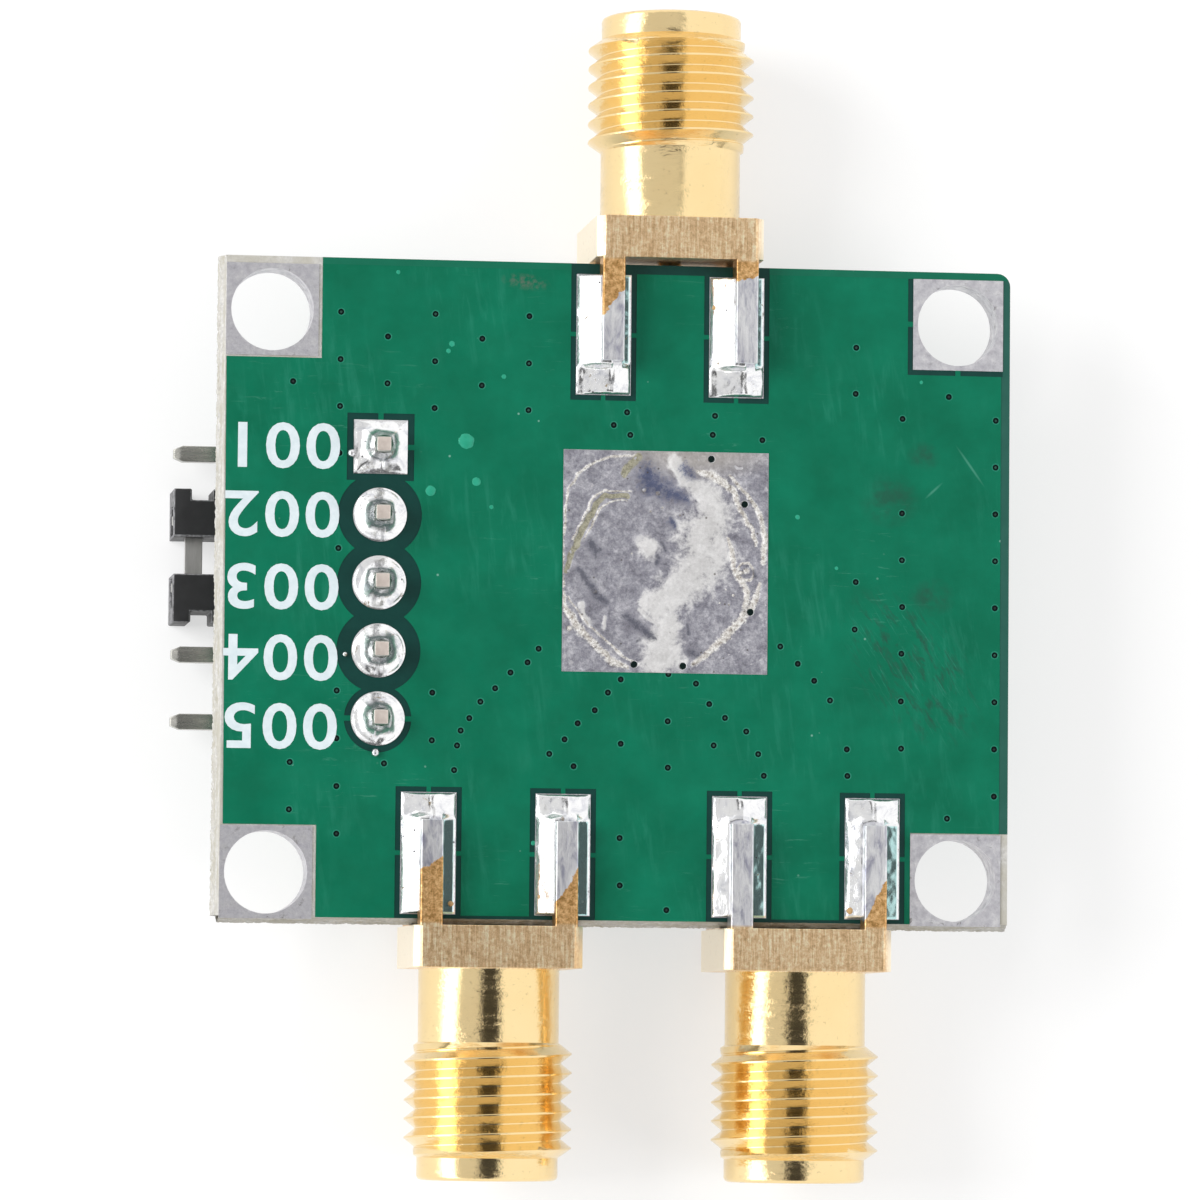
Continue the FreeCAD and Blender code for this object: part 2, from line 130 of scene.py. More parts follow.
# The sweep: white paper under the module, seen from above only
floor_size = 1.6
bpy.ops.mesh.primitive_plane_add(size=floor_size, location=(0, 0, cad_box[0].z))
floor = bpy.context.object
floor.name = "white_sweep"
bpy.ops.object.transform_apply(location=True, rotation=True, scale=True)
paper = glowing("white_paper", 0.40, 0.1, 1.0, 0.60)
paper_tree = paper.node_tree
paper_clear = paper_tree.nodes.new("ShaderNodeBsdfTransparent")
paper_side = paper_tree.nodes.new("ShaderNodeNewGeometry")
paper_mix = paper_tree.nodes.new("ShaderNodeMixShader")
paper_tree.links.new(paper_side.outputs["Backfacing"], paper_mix.inputs["Fac"])
paper_tree.links.new(paper_tree.nodes["Principled BSDF"].outputs[0], paper_mix.inputs[1])
paper_tree.links.new(paper_clear.outputs[0], paper_mix.inputs[2])
paper_tree.links.new(paper_mix.outputs[0], paper_tree.nodes["Material Output"].inputs["Surface"])
floor.data.materials.append(paper)


def reflector(name, low, high, shade):
    """A flat card between two corners that only mirrors in the metal."""
    low, high = Vector(low), Vector(high)
    size = high - low
    bpy.ops.mesh.primitive_plane_add(size=1, location=(low + high) / 2)
    card = bpy.context.object
    card.name = name
    if size.x < 1e-6:
        card.rotation_euler.y = math.pi / 2
        card.scale = (size.z, size.y, 1.0)
    else:
        card.scale = (size.x, size.y, 1.0)
    bpy.ops.object.transform_apply(location=True, rotation=True, scale=True)
    for ray in ("camera", "diffuse", "transmission", "volume_scatter", "shadow"):
        setattr(card, "visible_" + ray, False)
    card.data.materials.append(glowing(name, 0.0, 0.0, shade, 1.0))


reflector("grey_ceiling", (-0.62, -0.70, 0.36), (0.083, 0.70, 0.36), 0.74)
reflector("dark_lens_shade", (-0.131, -0.50, 0.355), (0.073, 0.056, 0.355), 0.05)
reflector("dark_ceiling_edge", (0.070, 0.056, 0.354), (0.086, 0.70, 0.354), 0.06)
reflector("dark_ceiling_line", (-0.622, -0.70, 0.361), (-0.605, 0.70, 0.361), 0.10)
reflector("bright_side", (-0.625, -0.70, 0.0), (-0.625, 0.70, 0.355), 3.0)


# The laminate: 1.6 mm woven glass and epoxy, routed at the top and right edges.
# The left and bottom edges were snapped off along V-scores, which leaves a torn web of pale fibres.
def only(*pieces):
    """Select these pieces and nothing else."""
    if bpy.context.object and bpy.context.object.mode != "OBJECT":
        bpy.ops.object.mode_set(mode="OBJECT")
    bpy.ops.object.select_all(action="DESELECT")
    for piece in pieces:
        piece.select_set(True)
    bpy.context.view_layer.objects.active = pieces[0]


def settle(piece, name=None):
    """Put a piece's place, turn and scale into its mesh."""
    only(piece)
    bpy.ops.object.transform_apply(location=True, rotation=True, scale=True)
    if name:
        piece.name = name
        piece.data.name = name
    return piece


def block(name, x0, x1, y0, y1, z0, z1):
    """A box between two corners, in millimetres."""
    bpy.ops.mesh.primitive_cube_add(size=1, location=Vector((x0 + x1, y0 + y1, z0 + z1)) * mm / 2)
    box = bpy.context.object
    box.scale = Vector((x1 - x0, y1 - y0, z1 - z0)) * mm
    return settle(box, name)


def post(name, x, y, radius, z0, z1, sides=32):
    """An upright cylinder, in millimetres."""
    bpy.ops.mesh.primitive_cylinder_add(vertices=sides, radius=radius * mm, depth=(z1 - z0) * mm,
                                        location=Vector((x, y, (z0 + z1) / 2)) * mm)
    return settle(bpy.context.object, name)


def joined(pieces, name):
    """Join pieces into one."""
    only(*pieces)
    if len(pieces) > 1:
        bpy.ops.object.join()
    piece = bpy.context.object
    piece.name = name
    piece.data.name = name
    return piece


def apply_all(piece):
    """Apply every modifier of a piece."""
    only(piece)
    for modifier in list(piece.modifiers):
        bpy.ops.object.modifier_apply(modifier=modifier.name)
    return piece


def cut(piece, cutters, together=True):
    """Cut other pieces out of a piece, joined into one or one after another."""
    if together:
        cutters = [joined(cutters, "cutter")]
    for cutter in cutters:
        modifier = piece.modifiers.new("cut", "BOOLEAN")
        modifier.operation = "DIFFERENCE"
        modifier.solver = "EXACT"
        modifier.use_self = together
        modifier.object = cutter
    apply_all(piece)
    for cutter in cutters:
        bpy.data.objects.remove(cutter)
    return piece


def bevelled(piece, chosen, radius, segments):
    """Bevel the edges whose two ends, in millimetres, pass a test."""
    only(piece)
    bpy.ops.object.mode_set(mode="EDIT")
    bpy.ops.mesh.select_mode(type="EDGE")
    bpy.ops.mesh.select_all(action="DESELECT")
    bpy.ops.object.mode_set(mode="OBJECT")
    for edge in piece.data.edges:
        edge.select = chosen(*[piece.data.vertices[index].co / mm for index in edge.vertices])
    bpy.ops.object.mode_set(mode="EDIT")
    bpy.ops.mesh.bevel(offset=radius * mm, segments=segments)
    bpy.ops.object.mode_set(mode="OBJECT")
    return piece


def mended(piece, reach, smooth=None):
    """Merge points within a reach in mm, turn the faces outwards, and shade smooth up to an angle."""
    only(piece)
    bpy.ops.object.mode_set(mode="EDIT")
    bpy.ops.mesh.select_mode(type="VERT")
    bpy.ops.mesh.select_all(action="SELECT")
    if reach > 0:
        bpy.ops.mesh.remove_doubles(threshold=reach * mm)
    bpy.ops.mesh.select_all(action="SELECT")
    bpy.ops.mesh.normals_make_consistent(inside=False)
    bpy.ops.object.mode_set(mode="OBJECT")
    if smooth:
        bpy.ops.object.shade_smooth_by_angle(angle=math.radians(smooth))
    return piece


def keep(piece, slot, *nodes):
    """Fasten a finished piece to the module."""
    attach(piece, "root")
    if nodes:
        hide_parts(*nodes)
    return piece


class Finish:
    """A procedural material in the making, with its noise read in millimetres."""

    def __init__(self, name, colour=(0.5, 0.5, 0.5), roughness=0.5, metallic=0.0, gloss=0.5):
        self.material = bpy.data.materials.new(name)
        self.material.use_nodes = True
        self.nodes = self.material.node_tree.nodes
        self.links = self.material.node_tree.links
        self.shader = self.nodes["Principled BSDF"]
        self.set("Base Color", (*colour, 1.0))
        self.set("Roughness", roughness)
        self.set("Metallic", metallic)
        self.set("Specular IOR Level", gloss)
        self.coordinates = self.nodes.new("ShaderNodeTexCoord").outputs["Object"]
        self.place = self.stretched((1.0, 1.0, 1.0))

    def set(self, socket, value):
        """Give the shader's own socket one value all over."""
        self.shader.inputs[socket].default_value = value

    def feed(self, socket, output):
        """Lead a pattern to one of the shader's sockets."""
        self.links.new(output, self.shader.inputs[socket])

    def mapped(self, kind, place, turn, scale):
        """The place on the piece, moved, turned and scaled."""
        mapping = self.nodes.new("ShaderNodeMapping")
        mapping.vector_type = kind
        mapping.inputs["Location"].default_value = place
        mapping.inputs["Rotation"].default_value = (0.0, 0.0, turn)
        mapping.inputs["Scale"].default_value = scale
        self.links.new(self.coordinates, mapping.inputs["Vector"])
        return mapping.outputs[0]

    def stretched(self, scale, offset=(0.0, 0.0, 0.0)):
        """The place on the piece in millimetres, scaled along each axis."""
        return self.mapped("POINT", offset, 0.0, [value / mm for value in scale])

    def laid(self, x, y, half_x, half_y, turn=0.0):
        """The place on the piece counted from a point of the board, turned, in half widths."""
        return self.mapped("TEXTURE", (x * mm, y * mm, 0.0), turn, (half_x * mm, half_y * mm, 1.0))

    def spot(self, x, y, half_x, half_y, turn=0.0):
        """1 in the middle of an oval on the board, 0 at its border and beyond."""
        node = self.nodes.new("ShaderNodeTexGradient")
        node.gradient_type = "SPHERICAL"
        self.links.new(self.laid(x, y, half_x, half_y, turn), node.inputs["Vector"])
        return node.outputs["Fac"]

    def cloud(self, scale, detail=4.0, rough=0.5, place=None, bend=0.0):
        """Soft noise with features of about 1 / scale millimetres."""
        node = self.nodes.new("ShaderNodeTexNoise")
        settings = {"Scale": scale, "Detail": detail, "Roughness": rough, "Distortion": bend}
        for socket, value in settings.items():
            node.inputs[socket].default_value = value
        self.links.new(place or self.place, node.inputs["Vector"])
        return node.outputs["Fac"]

    def streaks(self, stretch, detail=4.0, rough=0.5, bend=0.0):
        """Soft noise drawn out along the axes."""
        return self.cloud(1.0, detail, rough, self.stretched(stretch), bend)

    def cells(self, scale):
        """Distance to scattered points, for specks."""
        node = self.nodes.new("ShaderNodeTexVoronoi")
        node.inputs["Scale"].default_value = scale
        self.links.new(self.place, node.inputs["Vector"])
        return node.outputs["Distance"]

    def painted(self, name):
        """A value painted on the piece's points."""
        node = self.nodes.new("ShaderNodeAttribute")
        node.attribute_name = name
        return node.outputs["Fac"]

    def ramp(self, value, *stops):
        """A value turned into a colour or a number by stops along its range."""
        node = self.nodes.new("ShaderNodeValToRGB")
        elements = node.color_ramp.elements
        while len(elements) < len(stops):
            elements.new(0.5)
        for element, (position, colour) in zip(elements, stops):
            shade = colour if isinstance(colour, tuple) else (colour, colour, colour)
            element.position = position
            element.color = (*shade, 1.0)
        self.links.new(value, node.inputs["Fac"])
        return node.outputs["Color"]

    def rise(self, value, low, high):
        """0 where a value is below the first mark, 1 where it is above the second."""
        return self.ramp(value, (low, 0.0), (high, 1.0))

    def fill(self, node, pairs):
        """Give a node's inputs plain values or the outputs of other nodes."""
        for index, value in pairs:
            if isinstance(value, tuple):
                node.inputs[index].default_value = (*value, 1.0)
            elif isinstance(value, (int, float)):
                node.inputs[index].default_value = value
            else:
                self.links.new(value, node.inputs[index])

    def mix(self, factor, first, second):
        """Two colours, as outputs or plain values, mixed by a factor."""
        node = self.nodes.new("ShaderNodeMix")
        node.data_type = "RGBA"
        self.fill(node, ((0, factor), (6, first), (7, second)))
        return node.outputs[2]

    def sum(self, first, second, operation="ADD"):
        """Two numbers combined."""
        node = self.nodes.new("ShaderNodeMath")
        node.operation = operation
        self.fill(node, ((0, first), (1, second)))
        return node.outputs[0]

    def times(self, first, second):
        """Two numbers multiplied."""
        return self.sum(first, second, "MULTIPLY")

    def most(self, first, *others):
        """The highest of several numbers."""
        for other in others:
            first = self.sum(first, other, "MAXIMUM")
        return first

    def bump(self, height, strength, distance=0.02):
        """Fine relief, with its depth in millimetres."""
        node = self.nodes.new("ShaderNodeBump")
        node.inputs["Strength"].default_value = strength
        node.inputs["Distance"].default_value = distance * mm
        self.links.new(height, node.inputs["Height"])
        self.links.new(node.outputs[0], self.shader.inputs["Normal"])

    def mottle(self, cloud, low, high):
        """A base colour that wavers between two tones."""
        self.feed("Base Color", self.mix(self.cloud(*cloud), low, high))
        return self


def dress(piece, *finishes):
    """Give a piece these finishes and no other."""
    piece.data.materials.clear()
    for finish in finishes:
        piece.data.materials.append(finish.material)
    return piece


board_low, board_high = [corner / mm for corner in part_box("board")]
thickness = board_high.z - board_low.z
score_run = 0.27
hole_pitch = Vector((26.0, 21.0))
corner_holes = [Vector((sx * hole_pitch.x, sy * hole_pitch.y)) / 2 for sx in (-1, 1) for sy in (-1, 1)]
plated_hole = 1.6
header_x = -8.89
header_pitch = 2.54
header_rows = [0.34 + header_pitch * (2 - i) for i in range(5)]
pin_hole = 0.55
routed_radius = 0.5


def at_routed_corner(first, second):
    """Whether an edge stands at the board's rounded top right corner."""
    middle = (first + second) / 2
    return middle.x > board_high.x * 0.99 and middle.y > board_high.y * 0.99


laminate = block("laminate", board_low.x + score_run, board_high.x, board_low.y + score_run,
                 board_high.y, board_low.z, board_high.z)
bevelled(laminate, at_routed_corner, routed_radius, 6)
laminate_cutters = [post("hole", hole.x, hole.y, plated_hole, -thickness - 1, 1, 64) for hole in corner_holes]
laminate_cutters += [post("hole", header_x, y, pin_hole, -thickness - 1, 1) for y in header_rows]
cut(laminate, laminate_cutters)


def torn_web(name, start, along, length, outward, seed):
    """The snapped web of one edge: a thin ridge between the two scores, with torn fibres."""
    bpy.ops.mesh.primitive_grid_add(x_subdivisions=int(length / 0.07), y_subdivisions=26, size=1)
    web = bpy.context.object
    # Share of the run and z: down the first slope, over the broken web, back up the second slope
    profile = [(0.0, 0.0), (0.62, -0.42), (0.85, -0.62), (0.85, -0.98), (0.62, -1.18), (0.0, -1.6)]
    for vertex in web.data.vertices:
        share = vertex.co.x + 0.5
        place = (vertex.co.y + 0.5) * (len(profile) - 1)
        step = min(int(place), len(profile) - 2)
        (out0, z0), (out1, z1) = profile[step], profile[step + 1]
        out = (out0 + (out1 - out0) * (place - step)) * score_run
        z = z0 + (z1 - z0) * (place - step)
        spot = start + along * length * share
        probe = Vector((share * length * 3.0, z * 9.0, seed))
        tear = noise.noise(probe) * 0.07 + noise.noise(probe * 3.1) * 0.05 + noise.noise(probe * 7.3) * 0.03
        out = min(out + tear * min(1.0, out / score_run * 1.8), score_run)
        vertex.co = Vector((spot.x + outward.x * out, spot.y + outward.y * out, z)) * mm
    web.name = name
    only(web)
    bpy.ops.object.mode_set(mode="EDIT")
    bpy.ops.mesh.select_mode(type="EDGE")
    bpy.ops.mesh.select_all(action="DESELECT")
    bpy.ops.mesh.select_non_manifold()
    bpy.ops.mesh.edge_face_add()
    bpy.ops.object.mode_set(mode="OBJECT")
    return mended(web, 0.0, 40)


low_corner = Vector((board_low.x + score_run, board_low.y + score_run))
web_left = torn_web("web_left", low_corner, Vector((0, 1)), board_high.y - low_corner.y, Vector((-1, 0)), 3.7)
web_bottom = torn_web("web_bottom", low_corner, Vector((1, 0)), board_high.x - low_corner.x, Vector((0, -1)),
                      9.1)
laminate = joined([laminate, web_left, web_bottom], "laminate")

fibre = Finish("glass_epoxy", roughness=0.62)
layers = fibre.streaks((0.7, 0.7, 9.0), 3.0)
threads = fibre.cloud(6.0, 5.0, 0.7)
pale = fibre.mix(threads, (0.22, 0.21, 0.19), (0.82, 0.81, 0.78))
fibre.feed("Base Color", fibre.mix(fibre.rise(layers, 0.40, 0.62), pale, (0.42, 0.40, 0.34)))
fibre.bump(threads, 0.7, 0.05)
fibre.set("Subsurface Weight", 0.05)
fibre.set("Subsurface Radius", (0.3 * mm, 0.3 * mm, 0.2 * mm))
keep(dress(laminate, fibre), "laminate", "board")


# The solder mask of the solder side: green lacquer over the copper pour.
# Where the copper is etched away the lacquer lies lower and looks dark teal. It is open at the lands.
mask_top = 0.032
mask_sunk = 0.012
mask_edge_left = (-14.72, -14.60)
mask_edge_bottom = -12.16
right_margin = 0.33
right_sunk = 0.018
top_margin = 0.26
top_sunk = 0.021
land_width = 2.08
land_length = 4.55
land_setback = 0.40
etched_gap = 0.2
spoke_width = 0.17
leg_pitch = 5.05
above = 0.2
# Name, middle x of the lands, y of the board's edge there, and which way the jack points
jacks = [("common", 2.0, board_high.y, 1), ("port_1", -4.42, board_low.y, -1),
         ("port_2", 7.3, board_low.y, -1)]
corner_land = 3.45
land_radius = 1.01
pad_low, pad_high = [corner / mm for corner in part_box("ground_pad")]


def land_span(edge, outward, length):
    """The y range of a land that starts a little inside the board's edge."""
    outer = edge - outward * land_setback
    return sorted((outer, outer - outward * length))


def leg_land_spans():
    """Place of each leg land: its middle x, its y range, and which way the board's edge is."""
    return [(x + side * leg_pitch / 2, *land_span(edge, outward, land_length), outward, edge)
            for name, x, edge, outward in jacks for side in (-1, 1)]


def slice_of(x0, x1, y0, y1, floor_z):
    """A cutter through the lacquer down to one level."""
    return block("slice", x0, x1, y0, y1, floor_z, above)


def square_slice(x, y, half, floor_z):
    """A square cutter through the lacquer down to one level."""
    return slice_of(x - half, x + half, y - half, y + half, floor_z)


mask = block("solder_mask", mask_edge_left[0], board_high.x, mask_edge_bottom, board_high.y, 0.0, mask_top)
for vertex in mask.data.vertices:
    if vertex.co.x < 0 and vertex.co.y < 0:
        vertex.co.x = mask_edge_left[1] * mm
bevelled(mask, at_routed_corner, routed_radius, 6)

# Etched bands first: along the routed edges, round the leg lands, round the header and the top right land
sunk = [slice_of(board_high.x - right_margin, board_high.x + 1, mask_edge_bottom - 1,
                 board_high.y - top_margin, right_sunk),
        slice_of(mask_edge_left[0] - 1, board_high.x + 1, board_high.y - top_margin, board_high.y + 1,
                 top_sunk)]
for x, y0, y1, outward, edge in leg_land_spans():
    reach0 = y0 - etched_gap if outward > 0 else edge - 1
    reach1 = y1 + etched_gap if outward < 0 else edge + 1
    half = land_width / 2 + etched_gap
    sunk.append(slice_of(x - half, x + half, reach0, reach1, mask_sunk))
flange_gap = 0.36
for name, x, edge, outward in jacks:
    y0, y1 = sorted((edge - outward * flange_gap, edge + outward))
    sunk.append(slice_of(x - leg_pitch / 2, x + leg_pitch / 2, y0, y1, mask_sunk + 0.003))
top_right = corner_holes[3]
corner_half = corner_land / 2
sunk.append(slice_of(top_right.x - corner_half - etched_gap, top_right.x + corner_half,
                     top_right.y - corner_half - etched_gap, top_right.y + corner_half, mask_sunk))
header_gap = 1.575
end_gap = 1.26
first_y = header_rows[0]
last_y = header_rows[4]
sunk.append(square_slice(header_x, first_y, end_gap, mask_sunk))
for y in header_rows[1:4]:
    sunk.append(post("gap", header_x, y, header_gap, mask_sunk, above, 96))
sunk.append(post("gap", header_x, last_y, end_gap, mask_sunk, above, 96))
cut(mask, sunk, together=False)


# Spokes of copper that cross an etched gap under the lacquer
def spoke(x0, x1, y0, y1):
    """A strip of raised lacquer between two corners."""
    return block("spoke", min(x0, x1), max(x0, x1), y0, y1, 0.0, mask_top)


spoke_reach = etched_gap + 0.02
thin = 0.1
inside_land = 0.9
spokes = []
for x, y0, y1, outward, edge in leg_land_spans():
    middle = (y0 + y1) / 2
    for side in (-1, 1):
        near = x + side * land_width / 2
        spokes.append(spoke(near, near + side * spoke_reach, middle - spoke_width / 2,
                            middle + spoke_width / 2))
    inner = y0 - spoke_reach if outward > 0 else y1
    spokes.append(spoke(x - spoke_width / 2, x + spoke_width / 2, inner, inner + spoke_reach))
spokes.append(spoke(header_x - thin, header_x + thin, first_y + inside_land, first_y + end_gap + 0.02))
spokes.append(spoke(header_x + inside_land, header_x + end_gap + 0.02, first_y - thin, first_y + thin))
for side in (-1, 1):
    spokes.append(spoke(header_x + side * inside_land, header_x + side * (end_gap + 0.02), last_y - thin,
                        last_y + thin))
spokes.append(spoke(top_right.x - corner_half - spoke_reach, top_right.x - 1.5, top_right.y - thin,
                    top_right.y + thin))
spokes.append(spoke(top_right.x - thin, top_right.x + thin, top_right.y - corner_half - spoke_reach,
                    top_right.y - 1.5))
mask = joined([mask] + spokes, "solder_mask")

# Openings through the lacquer; those at the board's snapped edges run out over the edge
bare_border = 0.17
over_edge = 3.0
openings = []
for hole in corner_holes:
    left = right = bottom = top = corner_half
    if hole.x < 0:
        left, right = over_edge, corner_half + bare_border * 0.8
    elif hole.y < 0:
        right = over_edge
    if hole.y < 0:
        bottom, top = over_edge, corner_half + bare_border * 0.25
    elif hole.x < 0:
        bottom, top = corner_half + bare_border * 0.4, over_edge
    openings.append(slice_of(hole.x - left, hole.x + right, hole.y - bottom, hole.y + top, -0.1))
for x, y0, y1, outward, edge in leg_land_spans():
    openings.append(slice_of(x - land_width / 2, x + land_width / 2, y0, y1, -0.1))
openings.append(slice_of(pad_low.x, pad_high.x, pad_low.y, pad_high.y, -0.1))
openings.append(square_slice(header_x, first_y, land_radius, -0.1))
for y in header_rows[1:]:
    openings.append(post("opening", header_x, y, land_radius, -0.1, above, 64))

# Vias: plated holes of 0.25 mm that the lacquer covers, as rows, pairs and single ones, x and y in mm
via_column = [(14.47, 6.91 - 1.778 * i) for i in range(9)]
via_grid = [(x, y) for x in (-10.43, -6.88, -3.34) for y in (10.46, 8.68, 6.92)]
via_grid += [(x, y) for x in (-8.66, -5.11) for y in (9.57, 7.81)]
via_left = [(-12.2, 7.81), (-10.43, 5.16), (-12.15, -6.41), (-12.16, -8.17), (-10.4, -7.28), (-10.38, -9.05),
            (-8.63, -6.41), (-6.85, -3.74), (-10.43, 1.60), (-10.43, -3.72), (-10.42, -5.50), (-6.85, -5.52)]
via_chip = [(-0.11, 6.43), (0.39, 6.92), (0.52, 6.07), (3.73, 6.86), (3.65, 6.14), (5.54, 5.98)]
via_trace_1 = [(-2.87, -2.03), (-3.28, -2.55), (-3.92, -2.94), (-4.49, -3.54), (-5.04, -4.05), (-5.45, -4.67),
               (-5.77, -5.14), (-5.9, -5.7), (-6.0, -6.62), (-0.24, -3.63), (-0.73, -4.3), (-1.37, -4.8),
               (-1.86, -5.41), (-1.51, -6.41), (-2.43, -5.96)]
via_trace_2 = [(0.24, -3.13), (2.04, -2.9), (2.03, -4.67), (3.09, -3.24), (3.6, -4.0), (4.2, -4.51),
               (3.78, -5.55), (5.01, -5.01), (5.47, -5.85), (5.69, -6.66), (6.28, -1.79), (6.95, -2.43),
               (7.58, -3.06), (8.19, -3.79), (8.84, -5.62), (8.87, -6.62)]
via_right = [(9.11, -1.1), (9.14, 0.69), (9.09, 7.81), (9.1, 9.56), (10.89, 6.9), (10.89, 3.32), (10.9, 1.55),
             (10.92, -0.22), (10.9, -1.98), (10.89, -3.78), (10.91, -5.56), (12.68, -8.17), (0.25, -9.07),
             (0.27, -10.84), (0.26, -5.54), (2.05, -6.41), (2.04, -11.74), (12.66, 7.77)]
vias = via_column + via_grid + via_left + via_chip + via_trace_1 + via_trace_2 + via_right
via_bore = 0.115
via_rim = 0.155
openings += [post("via", x, y, via_rim, -0.1, above, 16) for x, y in vias]
cut(mask, openings)

lacquer = Finish("green_lacquer", roughness=0.34, gloss=0.12)
emerald = lacquer.mix(lacquer.rise(lacquer.cloud(0.35, 6.0, 0.62), 0.35, 0.68), (0.0014, 0.120, 0.062),
                      (0.0030, 0.172, 0.094))
weave = lacquer.sum(lacquer.streaks((3.2, 0.5, 1.0), 2.0), lacquer.streaks((0.5, 3.2, 1.0), 2.0))
emerald = lacquer.mix(lacquer.ramp(weave, (0.42, 0.0), (0.60, 0.25)), emerald, (0.0018, 0.115, 0.060))
# Fine scratches and specks in patches, and wiped smears
scratch_zone = lacquer.cloud(0.16, 2.0, 0.5, place=lacquer.stretched((1.0, 1.0, 1.0), (4.0, 9.0, 0.0)))
scratches = lacquer.times(lacquer.rise(lacquer.streaks((0.55, 5.5, 1.0), 6.0, 0.75, 0.6), 0.60, 0.66),
                          lacquer.rise(scratch_zone, 0.50, 0.62))
specks = lacquer.times(lacquer.ramp(lacquer.cells(1.15), (0.035, 1.0), (0.06, 0.0)),
                       lacquer.rise(lacquer.cloud(0.35, 2.0), 0.55, 0.62))
wiped = lacquer.cloud(1.0, 5.0, 0.65, place=lacquer.laid(0.0, 0.0, 0.35, 2.2, 0.12), bend=0.5)
smears = lacquer.times(lacquer.rise(wiped, 0.50, 0.68), lacquer.rise(lacquer.cloud(0.22, 2.0), 0.46, 0.60))
# The scuffed patch right of the pad, with dark and pale streaks, and round dark smudges
scuffed = lacquer.rise(lacquer.spot(11.3, -2.5, 3.9, 2.3, -0.9), 0.05, 0.45)
scuff_streaks = lacquer.cloud(1.0, 6.0, 0.66, place=lacquer.laid(0.0, 0.0, 1.0, 0.30, -1.05), bend=0.4)
round_smudges = lacquer.most(lacquer.spot(10.42, 3.8, 1.25, 1.1), lacquer.spot(11.7, 5.5, 0.7, 0.6),
                             lacquer.spot(12.05, 0.17, 0.95, 0.8))
round_smudges = lacquer.times(lacquer.ramp(round_smudges, (0.0, 0.0), (0.6, 0.8)),
                              lacquer.ramp(lacquer.cloud(1.6, 6.0, 0.65), (0.40, 0.2), (0.60, 1.0)))
dark_scuffs = lacquer.most(lacquer.times(lacquer.rise(scuff_streaks, 0.50, 0.66), scuffed), round_smudges)
pale_streaks = lacquer.cloud(1.0, 6.0, 0.7, place=lacquer.laid(3.0, 1.0, 1.2, 0.10, -1.0), bend=0.4)
pale_scuffs = lacquer.times(lacquer.rise(pale_streaks, 0.56, 0.66), scuffed)
for marks, share, tone in ((scratches, 0.22, (0.12, 0.36, 0.27)), (specks, 0.5, (0.30, 0.52, 0.45)),
                           (smears, 0.26, (0.030, 0.240, 0.160)), (dark_scuffs, 0.85, (0.016, 0.070, 0.046)),
                           (pale_scuffs, 0.34, (0.045, 0.270, 0.190))):
    emerald = lacquer.mix(lacquer.times(marks, share), emerald, tone)
# Two long scratches, and a brown smudge near the top edge
long_scratches = lacquer.most(lacquer.spot(13.5, 5.15, 1.0, 0.06, -0.95),
                              lacquer.spot(12.1, 4.2, 0.5, 0.06, 0.75))
emerald = lacquer.mix(lacquer.ramp(long_scratches, (0.0, 0.0), (0.7, 0.42)), emerald, (0.10, 0.34, 0.25))
smudge = lacquer.times(lacquer.rise(lacquer.cloud(3.5, 6.0, 0.7), 0.44, 0.60),
                       lacquer.ramp(lacquer.spot(-3.5, 11.75, 1.0, 0.34, -0.12), (0.0, 0.0), (0.6, 0.75)))
lacquer.feed("Base Color", lacquer.mix(smudge, emerald, (0.10, 0.13, 0.10)))
lacquer_gloss = lacquer.ramp(lacquer.cloud(0.9, 5.0, 0.6), (0.3, 0.28), (0.7, 0.46))
lacquer.feed("Roughness", lacquer.mix(dark_scuffs, lacquer_gloss, (0.62, 0.62, 0.62)))
lacquer.bump(lacquer.cloud(2.6, 6.0, 0.6), 0.35, 0.02)
teal = Finish("lacquer_on_bare_laminate", roughness=0.36, gloss=0.22)
teal.mottle((1.4, 5.0, 0.6), (0.002, 0.030, 0.026), (0.005, 0.050, 0.040))
teal.bump(teal.cloud(5.0, 4.0), 0.4, 0.015)
right_strip = Finish("lacquer_on_right_margin", roughness=0.36, gloss=0.2)
right_strip.mottle((1.2, 5.0), (0.012, 0.075, 0.056), (0.024, 0.110, 0.084))
top_strip = Finish("lacquer_on_top_margin", roughness=0.36, gloss=0.2)
top_strip.mottle((1.2, 5.0), (0.0025, 0.105, 0.058), (0.005, 0.145, 0.082))
dress(mask, lacquer, teal, right_strip, top_strip)
for face in mask.data.polygons:
    height = face.center.z / mm
    level = mask_sunk - 0.001 < height < mask_sunk + 0.004
    face.material_index = 1 if level or (abs(face.normal.z) < 0.5 and height < mask_top * 0.8) else 0
    for index, margin_level in ((2, right_sunk), (3, top_sunk)):
        if face.normal.z > 0.5 and abs(height - margin_level) < 0.001:
            face.material_index = index
keep(mask, "laminate")


# Via rims: the lacquer dips over each plated hole, dark round the rim and a little lighter inside.
# Clear droplets of flux lie on the lacquer as low domes.
def lathe(name, profile, segments=24, axis=(0, 0, 1)):
    """Turn a profile of (radius, height) points in millimetres about an axis through the origin."""
    bpy.ops.mesh.primitive_plane_add(size=mm)
    turned = bpy.context.object
    bpy.ops.object.mode_set(mode="EDIT")
    bpy.ops.mesh.select_mode(type="VERT")
    bpy.ops.mesh.select_all(action="SELECT")
    bpy.ops.mesh.merge(type="CENTER")
    places = [Vector((radius, 0, 0)) * mm + Vector(axis) * height * mm for radius, height in profile]
    bpy.ops.transform.translate(value=places[0])
    for before, after in zip(places, places[1:]):
        bpy.ops.mesh.extrude_region_move(TRANSFORM_OT_translate={"value": after - before})
    bpy.ops.mesh.select_all(action="SELECT")
    bpy.ops.mesh.spin(steps=segments, angle=2 * math.pi, center=(0, 0, 0), axis=axis)
    turned.name = name
    return mended(turned, 0.0005, 40)


